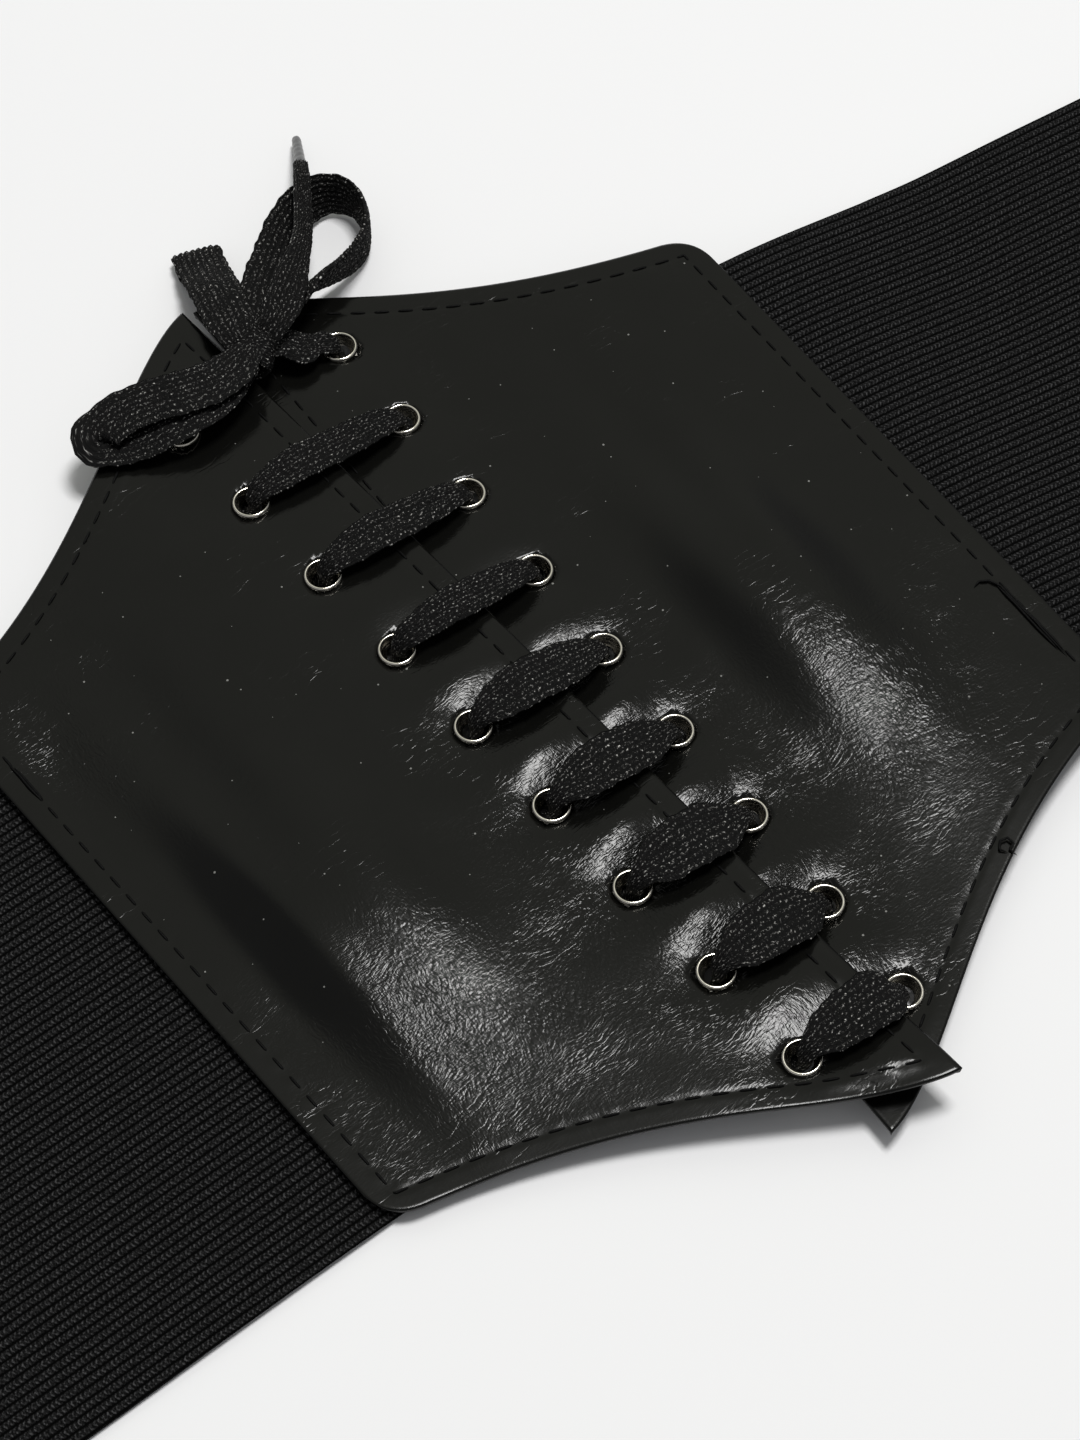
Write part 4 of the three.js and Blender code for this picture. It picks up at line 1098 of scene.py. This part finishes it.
def crossing_stations(row, crossing):
    """Stations of the lace on top, from the left eyelet to the right one of the same row."""
    left, right = eyelet_seat(LEFT, row)[0], eyelet_seat(RIGHT, row)[0]
    span = np.linalg.norm(right - left)
    way = level(right - left)
    side = np.cross(UP, way)
    width, wall = LACE_WIDTH * crossing[0], LACE_WALL * crossing[1]
    edge = EYELET_INSET + SEAT
    over_edge = float(leather_top(LEFT, 0.0, row_up(row))) + 2 * SEAT + wall / 2
    landing = right[2] + LIP_HEIGHT
    lip = left[2] + LIP_HEIGHT
    places = [
        (LIP_REACH + LACE_EASE, lip + CROSSING_CROWN / 2, 0.84),
        (edge * 0.62, max(lip, over_edge) + CROSSING_CROWN, 1),
        (edge, max(over_edge, landing) + CROSSING_CROWN / 3, 1),
    ]
    right_ease = span - LIP_REACH - LACE_EASE
    if right_ease - edge > LACE_EASE / 2:
        share = (right_ease - edge) / (span - LIP_REACH - edge)
        height = max(landing, over_edge + (landing - over_edge) * share) + CROSSING_CROWN / 3
        places.append((right_ease, height, 0.84))
    stations = []
    for distance, height, share in places:
        at = left + way * distance
        at[2] = height
        stations.append({**station(at, way, side, width * share, wall, 1), "fold": CROSSING_FOLDS[row - 2]})
    return stations


def backwards(stations):
    return [{**one, "way": -one["way"]} for one in stations[::-1]]


# The lace's two ends, where it comes up out of the top eyelets and goes on into the bow
LACE_ENDS = {}


def lace_stations():
    stations = []
    for i, step in enumerate(ROUTE):
        goes_down = i % 2 == 0
        if goes_down:
            top_partner = ROUTE[i - 1] if i else None
            low_points = run_points(step, ROUTE[i + 1])
        else:
            top_partner = ROUTE[i + 1] if i + 1 < len(ROUTE) else None
            low_points = run_points(ROUTE[i - 1], step)
        here = eyelet_at(step)
        top_way = level((eyelet_at(top_partner) if top_partner else np.array(KNOT)) - here)
        low_way = level((low_points[0] if goes_down else low_points[-1]) - here)
        through = through_eyelet(step, top_way, low_way)
        if top_partner is None:
            LACE_ENDS[step[0]["name"]] = through[:2][::-1]
            through = through[1:]
        if goes_down:
            stations += through
            points = [here, *low_points, eyelet_at(ROUTE[i + 1])]
            for k in range(1, len(points) - 1):
                way = level(points[k + 1] - points[k - 1])
                stations.append(station(points[k], way, np.cross(UP, way), RUN_WIDTH, RUN_WALL, 0))
        else:
            stations += backwards(through)
            if top_partner:
                crossing = crossing_stations(step[1], CROSSINGS[step[1] - 2])
                stations += crossing if step[0] is LEFT else backwards(crossing)
    return stations


def bow_stations(route):
    points = [np.array(row[:3]) for row in route]
    stations, last = [], None
    for i, row in enumerate(route):
        way = unit(points[min(i + 1, len(route) - 1)] - points[max(i - 1, 0)])
        flat = unit(np.cross(UP, way))
        if last is not None and flat @ last < 0:
            flat = -flat
        last = flat
        lean = math.radians(row[3])
        side = flat * math.cos(lean) + np.cross(way, flat) * math.sin(lean)
        stations.append(station(points[i], way, side, row[4], row[5], 1))
    return stations


def smooth_line(points, knots, at):
    """Smooth values at the given distances through points that sit at knots."""
    points = np.asarray(points, float)
    if points.ndim == 1:
        points = points[:, None]
    slopes = np.empty_like(points)
    slopes[1:-1] = (points[2:] - points[:-2]) / (knots[2:] - knots[:-2])[:, None]
    slopes[0] = (points[1] - points[0]) / (knots[1] - knots[0])
    slopes[-1] = (points[-1] - points[-2]) / (knots[-1] - knots[-2])
    i = np.clip(np.searchsorted(knots, at, side="right") - 1, 0, len(knots) - 2)
    gap = knots[i + 1] - knots[i]
    t = ((at - knots[i]) / gap)[:, None]
    gap = gap[:, None]
    return ((2 * t**3 - 3 * t**2 + 1) * points[i] + (t**3 - 2 * t**2 + t) * gap * slopes[i]
            + (3 * t**2 - 2 * t**3) * points[i + 1] + (t**3 - t**2) * gap * slopes[i + 1])


SHOWN_STEP = 0.42
HIDDEN_STEP = 1.6


def sweep_line(stations):
    """Smooth centre line, width direction, width and thickness of a flat lace through its stations."""
    places = np.array([one["at"] for one in stations])
    sides, last = [], None
    for one in stations:
        side = one["side"]
        if last is not None and side @ last < 0:
            side = -side
        last = side
        sides.append(side)
    knots = run_along(places)
    at = [0.0]
    for i in range(len(stations) - 1):
        shown = stations[i]["shown"] or stations[i + 1]["shown"]
        at += list(spaced(knots[i], knots[i + 1], SHOWN_STEP if shown else HIDDEN_STEP)[1:])
    at = np.array(at)
    centre = smooth_line(places, knots, at)
    width, wall, fold = (smooth_line([one[key] for one in stations], knots, at)[:, 0]
                         for key in ("width", "wall", "fold"))
    side = smooth_line(sides, knots, at)
    way = np.gradient(centre, axis=0)
    way /= np.linalg.norm(way, axis=1)[:, None]
    side -= (side * way).sum(axis=1)[:, None] * way
    side /= np.linalg.norm(side, axis=1)[:, None]
    return centre, way, side, width, wall, fold


def braid_surface(run, share):
    """Rise of a flat braid's yarns at a distance along it and a share (0 to 1) across, and how deep it lies."""
    column = share * BRAID_COLUMNS
    inside = column - np.floor(column) - 0.5
    slant = np.where(np.floor(column) % 2 == 0, 1.0, -1.0)
    phase = run / BRAID_PITCH + slant * inside * 0.9 + 0.5 * (np.floor(column) % 2)
    yarn = np.abs(np.cos(math.pi * phase)) ** 0.7 * np.cos(math.pi * inside) ** 0.6
    # The second value is also the share of painted shade that the lace's colour gets between the yarns
    return BRAID_DEPTH * (yarn - 0.6), 1 - yarn


TOP_POINTS = BRAID_COLUMNS * 3 + 1
EDGE_POINTS = 3
RIM_HALF = 0.19
CROWN_RISE = 0.31
VALLEY_WIDTH = 0.09


def braid_section():
    """Section of the flat lace: share across, height as a share of its thickness, side (+1 top, -1 back)."""
    across = np.linspace(0, 1, TOP_POINTS)
    crown = (1 - np.abs(2 * across - 1) ** 5) * CROWN_RISE + RIM_HALF
    angle = np.linspace(0, math.pi, EDGE_POINTS + 2)[1:-1]
    rim_across, rim_high = 0.012 * np.sin(angle), RIM_HALF * np.cos(angle)
    share = np.concatenate([across, 1 + rim_across, across[::-1], -rim_across])
    high = np.concatenate([crown, rim_high, -crown[::-1], -rim_high])
    face = np.concatenate([np.ones(TOP_POINTS), np.zeros(EDGE_POINTS), -np.ones(TOP_POINTS),
                           np.zeros(EDGE_POINTS)])
    return share, high, face


def add_lace(name, stations):
    """A braided lace through its stations, and its centre line."""
    centre, way, side, width, wall, fold = sweep_line(stations)
    over = np.cross(way, side)
    run = run_along(centre)
    share, high, face = braid_section()
    run_grid, share_grid = np.broadcast_arrays(run[:, None], share[None, :])
    relief, hollow_shade = braid_surface(run_grid, np.clip(share_grid, 0, 0.9999))
    valley = fold[:, None] * np.exp(-(((share_grid - 0.5 - 0.06 * np.sin(run_grid / 5)) / VALLEY_WIDTH) ** 2))
    rise = high[None, :] * (wall[:, None] * (1 - valley * (face[None, :] > 0))) + face[None, :] * relief
    wobble = 1 + 0.02 * np.sin(run * 1.1) + 0.02 * np.sin(run * 2.3 + 1)
    across = (share[None, :] - 0.5) * (width * wobble)[:, None]
    points = centre[:, None, :] + across[..., None] * side[:, None, :] + rise[..., None] * over[:, None, :]
    uvs = np.stack([run_grid, share_grid * LACE_WIDTH + 20 * face[None, :]], axis=-1)
    # The attribute stored here darkens the lace's colour between the yarns as painted shade
    piece = add_mesh(name, points.reshape(-1, 3), tube_faces(len(run), len(share)), [BRAID],
                     uvs=uvs.reshape(-1, 2) / UV_UNIT, attributes={"hollow_shade": (hollow_shade * np.abs(face)).ravel()})
    return piece, centre


laced, _ = add_lace("laced_braid", lace_stations())
finish_piece(laced, "lace_braid", "lace")


# Bow: each half is one cord, up out of a top eyelet, through the knot, round a loop, back and out to its tail


def in_knot(*places):
    """Narrow stations inside the knot, between two stretches of a cord."""
    return [dict(at=np.array(place, float), way=None, side=None, width=KNOT_LACE_WIDTH, wall=KNOT_LACE_WALL,
                 shown=0, fold=0.0) for place in places]


def chained(*stretches):
    """One list of stations from several, with the directions of those in the knot filled in."""
    stations = [one for stretch in stretches for one in stretch]
    for i, one in enumerate(stations):
        if one["way"] is None:
            before = stations[i - 1]
            following = next(s for s in stations[i + 1:] if s["way"] is not None)
            one["way"] = unit(stations[i + 1]["at"] - before["at"])
            after = following["side"] if following["side"] @ before["side"] >= 0 else -following["side"]
            one["side"] = unit(before["side"] + after)
    return stations


def make_aglet(name, node, tail, tip):
    """A wrapped sheath from the end of a tail to its tip."""
    start, end = np.array(tail[-1][:3]), np.array(tip)
    way = unit(end - start)
    side = unit(np.cross(way, UP))
    over = np.cross(side, way)
    length = np.linalg.norm(end - start)
    turn = np.arange(AGLET_SIDES) / AGLET_SIDES * 2 * math.pi
    along = np.linspace(0, 1, AGLET_RINGS)
    radius = AGLET_RADIUS * (1.12 - 0.22 * along)
    radius = radius * np.sqrt(np.clip(1 - np.clip((along - 0.94) / 0.06, 0, 1) ** 2, 0.05, 1))
    seam = 0.07 * np.exp(-(((turn - 1.2) / 0.35) ** 2))
    crimp = 0.03 * np.cos(along[:, None] * 36 + turn[None, :])
    ring_radius = radius[:, None] * (1 + seam[None, :] + crimp)
    ring = np.cos(turn)[:, None] * side + np.sin(turn)[:, None] * over * 0.92
    centre = start + (along[:, None] * (length + 0.4) - 0.4) * way
    cloud = (centre[:, None, :] + ring[None] * ring_radius[..., None]).reshape(-1, 3)
    piece = add_mesh(name, cloud, tube_faces(AGLET_RINGS, AGLET_SIDES), [SHEATH])
    return finish_piece(piece, "aglet_plastic", node)


def make_knot():
    """Two turns of the lace wrapped round where the bow's parts meet."""
    parts = []
    for shift, tilt, width, reach_side, reach_up in KNOT_TURNS:
        lean = math.radians(KNOT_LEAN + tilt)
        axis = unit([math.cos(lean), math.sin(lean), 0.1])
        across = level(np.cross(UP, axis))
        lift = np.cross(axis, across)
        centre = np.array(KNOT) + axis * shift
        stations = []
        for step in np.linspace(-0.62, 1.62, 22) * math.pi:
            at = centre + across * math.cos(step) * reach_side + lift * math.sin(step) * reach_up
            way = -across * math.sin(step) * reach_side + lift * math.cos(step) * reach_up
            stations.append(station(at, way, axis, width * (1 + 0.06 * math.sin(3 * step)), KNOT_LACE_WALL, 1))
        parts.append(stations)
    return parts


def join_laces(name, several):
    pieces = [add_lace(f"{name}_{i}", stations)[0] for i, stations in enumerate(several)]
    bpy.ops.object.select_all(action="DESELECT")
    for piece in pieces:
        piece.select_set(True)
    bpy.context.view_layer.objects.active = pieces[0]
    bpy.ops.object.join()
    pieces[0].name = name
    pieces[0].data.name = name
    return pieces[0]


knot = finish_piece(join_laces("knot_wrap", make_knot()), "lace_braid", "bow_knot")
aglet_upper = make_aglet("aglet_sheath_upper", "aglet_upper", TAIL_UPPER, AGLET_UPPER_TIP)
aglet_folded = make_aglet("aglet_sheath_folded", "aglet_folded", TAIL_FOLDED, AGLET_FOLDED_TIP)

BOW_HALVES = [
    ("bow_half_right", "right", (STRAND_RIGHT, LOOP_UPPER, TAIL_UPPER),
     ([(5.0, 85.6, 10.4), (4.2, 87.6, 10.0)], [(5.0, 86.6, 11.4), (5.2, 86.0, 12.6)]),
     ("strand_right", "loop_upper", "tail_upper"), [aglet_upper]),
    ("bow_half_left", "left", (STRAND_LEFT, LOOP_LOWER, TAIL_FOLDED),
     ([(0.6, 85.4, 10.6), (2.2, 86.0, 12.0), (1.6, 85.2, 13.4)], [(-1.4, 82.8, 12.2), (0.8, 86.0, 11.6)]),
     ("strand_left", "loop_lower", "tail_folded"), [aglet_folded, knot]),
]
for name, side_name, (strand, loop, tail), (first_turn, second_turn), nodes, fittings in BOW_HALVES:
    stations = chained(LACE_ENDS[side_name], bow_stations(strand), in_knot(*first_turn), bow_stations(loop),
                       in_knot(*second_turn), bow_stations(tail))
    half, centre = add_lace(name, stations)
    finish_piece(half, "lace_braid", *nodes)


# Eyelets

EYELET_SIDES = 64
RING_RADIUS = 3.45
RING_RISE = 0.6

# Inside of the eyelet from its roll down: past the hole's radius, height
EYELET_THROAT = [
    (0.2, -0.1), (0.02, -0.25), (0.0, -0.6), (-0.15, -0.8), (-0.55, -1.2), (-0.6, -1.35),
    (-0.45, -1.55), (0.0, -1.8),
]


def make_eyelet(side, row):
    """A rolled metal ring through the leather, turned from its profile."""
    below = -PANEL_WALL - SEAT
    turn = np.linspace(0, math.pi, 13)
    middle = (RING_RADIUS + HOLE_RADIUS + 0.25) / 2
    roll_out = middle + (RING_RADIUS - middle) * np.cos(turn)
    roll_up = SEAT * 0.5 + RING_RISE * np.sin(turn)
    profile = [(RING_RADIUS, -0.2)]
    profile += list(zip(roll_out, roll_up))
    profile += [(HOLE_RADIUS + past, height) for past, height in EYELET_THROAT] + [(HOLE_RADIUS + 0.05, below)]
    back = np.linspace(0, math.pi, 7)
    profile += [(HOLE_RADIUS + 0.5 - 0.45 * math.cos(a), below - BACK_ROLL * math.sin(a)) for a in back]
    profile += [(HOLE_RADIUS + 0.35, below + 0.1), (HOLE_RADIUS + 0.35, 0.0)]
    profile = np.array(profile)
    centre, facing = eyelet_seat(side, row)
    first = unit(np.cross([0.0, 1.0, 0.0], facing))
    second = np.cross(facing, first)
    angle = np.arange(EYELET_SIDES) / EYELET_SIDES * 2 * math.pi
    ring = np.cos(angle)[:, None] * first + np.sin(angle)[:, None] * second
    points = centre + ring[None] * profile[:, 0][:, None, None] + facing * profile[:, 1][:, None, None]
    rings = len(profile)
    faces = grid_faces(rings, EYELET_SIDES, closed=True)
    around = np.arange(EYELET_SIDES)
    after = np.roll(around, -1)
    last = (rings - 1) * EYELET_SIDES
    closing = np.stack([last + around, last + after, after, around], axis=-1)
    faces = np.concatenate([faces, closing])
    piece = add_mesh(f"eyelet_ring_{side['name']}_{row}", points.reshape(-1, 3), faces, [NICKEL])
    return finish_piece(piece, "eyelet_metal", f"eyelet_{side['name']}_{row}")


for side in (LEFT, RIGHT):
    for row in range(1, ROWS + 1):
        make_eyelet(side, row)


# Hook plate on the right elastic's hem

HOOK_WALL = 1.2
HOOK_SEAT = 10.0
HOOK_TONGUE = 14.0
HOOK_LIP = 7.0
HOOK_GAP = 1.2
HOOK_ROUNDING = 0.3


def make_hook(side):
    start, along, across_way = elastic_frame(side)
    under = HEM_TOP + SEAT
    middle = under + HOOK_WALL / 2
    reach = ELASTIC_LENGTH + HOOK_TONGUE - HOOK_WALL / 2
    low = under - HOOK_GAP - HOOK_WALL / 2
    radius = (middle - low) / 2
    turn = np.linspace(0, math.pi, 9)
    flat = spaced(ELASTIC_LENGTH - HOOK_SEAT, reach - radius, 2.0)
    out = np.concatenate([flat, (reach - radius + radius * np.sin(turn))[1:],
                          [reach - HOOK_LIP + HOOK_WALL / 2]])
    up = np.concatenate([np.full(len(flat), middle), ((middle + low) / 2 + radius * np.cos(turn))[1:], [low]])
    across = np.linspace(-0.5, 0.5, 17) * HOOK_WIDTH
    points = (start + out[:, None, None] * along + across[None, :, None] * across_way
              + up[:, None, None] * UP)
    faces = grid_faces(len(out), len(across))
    if np.cross(across_way, along)[2] < 0:
        faces = faces[:, ::-1]
    piece = add_mesh("hook_plate", points.reshape(-1, 3), faces, [PLATE])
    thicken(piece, HOOK_WALL)
    rounded = piece.modifiers.new("rounded", "BEVEL")
    rounded.width = HOOK_ROUNDING * MM
    rounded.segments = 3
    rounded.limit_method = "ANGLE"
    apply_modifiers(piece)
    return finish_piece(piece, "clasp_metal", "clasp_hook")


make_hook(RIGHT)


# Floor, light and camera

FLOOR_REACH = 4.0
FLOOR_HEIGHT = -0.0002
DOME_COLOR = (0.265, 0.268, 0.272)
GLOW_COLOR = (0.6, 0.61, 0.545)
GLOW_AZIMUTH = 143.0
GLOW_ELEVATION = 57.0
GLOW_SPREAD = (10.0, 44.0)
SOFTBOX_SIZE = 0.6
SOFTBOX_PLACE = (0.46, 0.05, 2.3)
SOFTBOX_POWER = 40.5


def direction_at(azimuth, elevation):
    return np.array([math.sin(azimuth) * math.cos(elevation), -math.cos(azimuth) * math.cos(elevation),
                     math.sin(elevation)])


def make_floor():
    mesh = bpy.data.meshes.new("floor")
    signs = ((-1, -1), (1, -1), (1, 1), (-1, 1))
    corners = [(x * FLOOR_REACH, y * FLOOR_REACH, FLOOR_HEIGHT) for x, y in signs]
    mesh.from_pydata(corners, [], [(0, 1, 2, 3)])
    mesh.materials.append(FLOOR)
    floor = bpy.data.objects.new("floor", mesh)
    bpy.context.scene.collection.objects.link(floor)


def make_light():
    data = bpy.data.lights.new("softbox", "AREA")
    data.shape = "SQUARE"
    data.size = SOFTBOX_SIZE
    data.energy = SOFTBOX_POWER
    data.color = (1.0, 0.995, 0.985)
    light = bpy.data.objects.new("softbox", data)
    light.location = SOFTBOX_PLACE
    light.rotation_mode = "QUATERNION"
    light.rotation_quaternion = Vector(SOFTBOX_PLACE).to_track_quat("Z", "Y")
    bpy.context.scene.collection.objects.link(light)


def make_world():
    """A dim room with a paler part, soft at its edge."""
    world = bpy.data.worlds.new("studio")
    world.use_nodes = True
    nodes, links = world.node_tree.nodes, world.node_tree.links
    direction = nodes.new("ShaderNodeTexCoord").outputs["Generated"]
    nearness = nodes.new("ShaderNodeVectorMath")
    nearness.operation = "DOT_PRODUCT"
    nearness.inputs[1].default_value = direction_at(math.radians(GLOW_AZIMUTH), math.radians(GLOW_ELEVATION))
    links.new(direction, nearness.inputs[0])
    share = nodes.new("ShaderNodeMapRange")
    share.interpolation_type = "SMOOTHSTEP"
    share.inputs["From Min"].default_value = math.cos(math.radians(GLOW_SPREAD[1]))
    share.inputs["From Max"].default_value = math.cos(math.radians(GLOW_SPREAD[0]))
    links.new(nearness.outputs["Value"], share.inputs["Value"])
    mix = nodes.new("ShaderNodeMix")
    mix.data_type = "RGBA"
    links.new(share.outputs["Result"], mix.inputs[0])
    mix.inputs[6].default_value = (*DOME_COLOR, 1)
    mix.inputs[7].default_value = (*GLOW_COLOR, 1)
    links.new(mix.outputs[2], nodes["Background"].inputs["Color"])
    bpy.context.scene.world = world


def make_camera():
    roll = math.radians(CAMERA_ROLL)
    back = direction_at(math.radians(CAMERA_AZIMUTH), math.radians(CAMERA_ELEVATION))
    right = unit(np.cross(UP, back))
    up = np.cross(back, right)
    right, up = right * math.cos(roll) + up * math.sin(roll), up * math.cos(roll) - right * math.sin(roll)
    data = bpy.data.cameras.new("camera")
    data.sensor_width = 36.0
    data.sensor_fit = "AUTO"
    data.lens = CAMERA_LENS
    data.clip_start = 0.01
    data.clip_end = 20.0
    camera = bpy.data.objects.new("camera", data)
    place = to_world(np.array(CAMERA_TARGET) + back * CAMERA_DISTANCE)
    camera.matrix_world = Matrix([*np.stack([right, up, back, place], axis=-1), (0, 0, 0, 1)])
    bpy.context.scene.collection.objects.link(camera)
    bpy.context.scene.camera = camera


make_floor()
make_light()
make_world()
make_camera()
bpy.context.scene.view_settings.view_transform = "Standard"
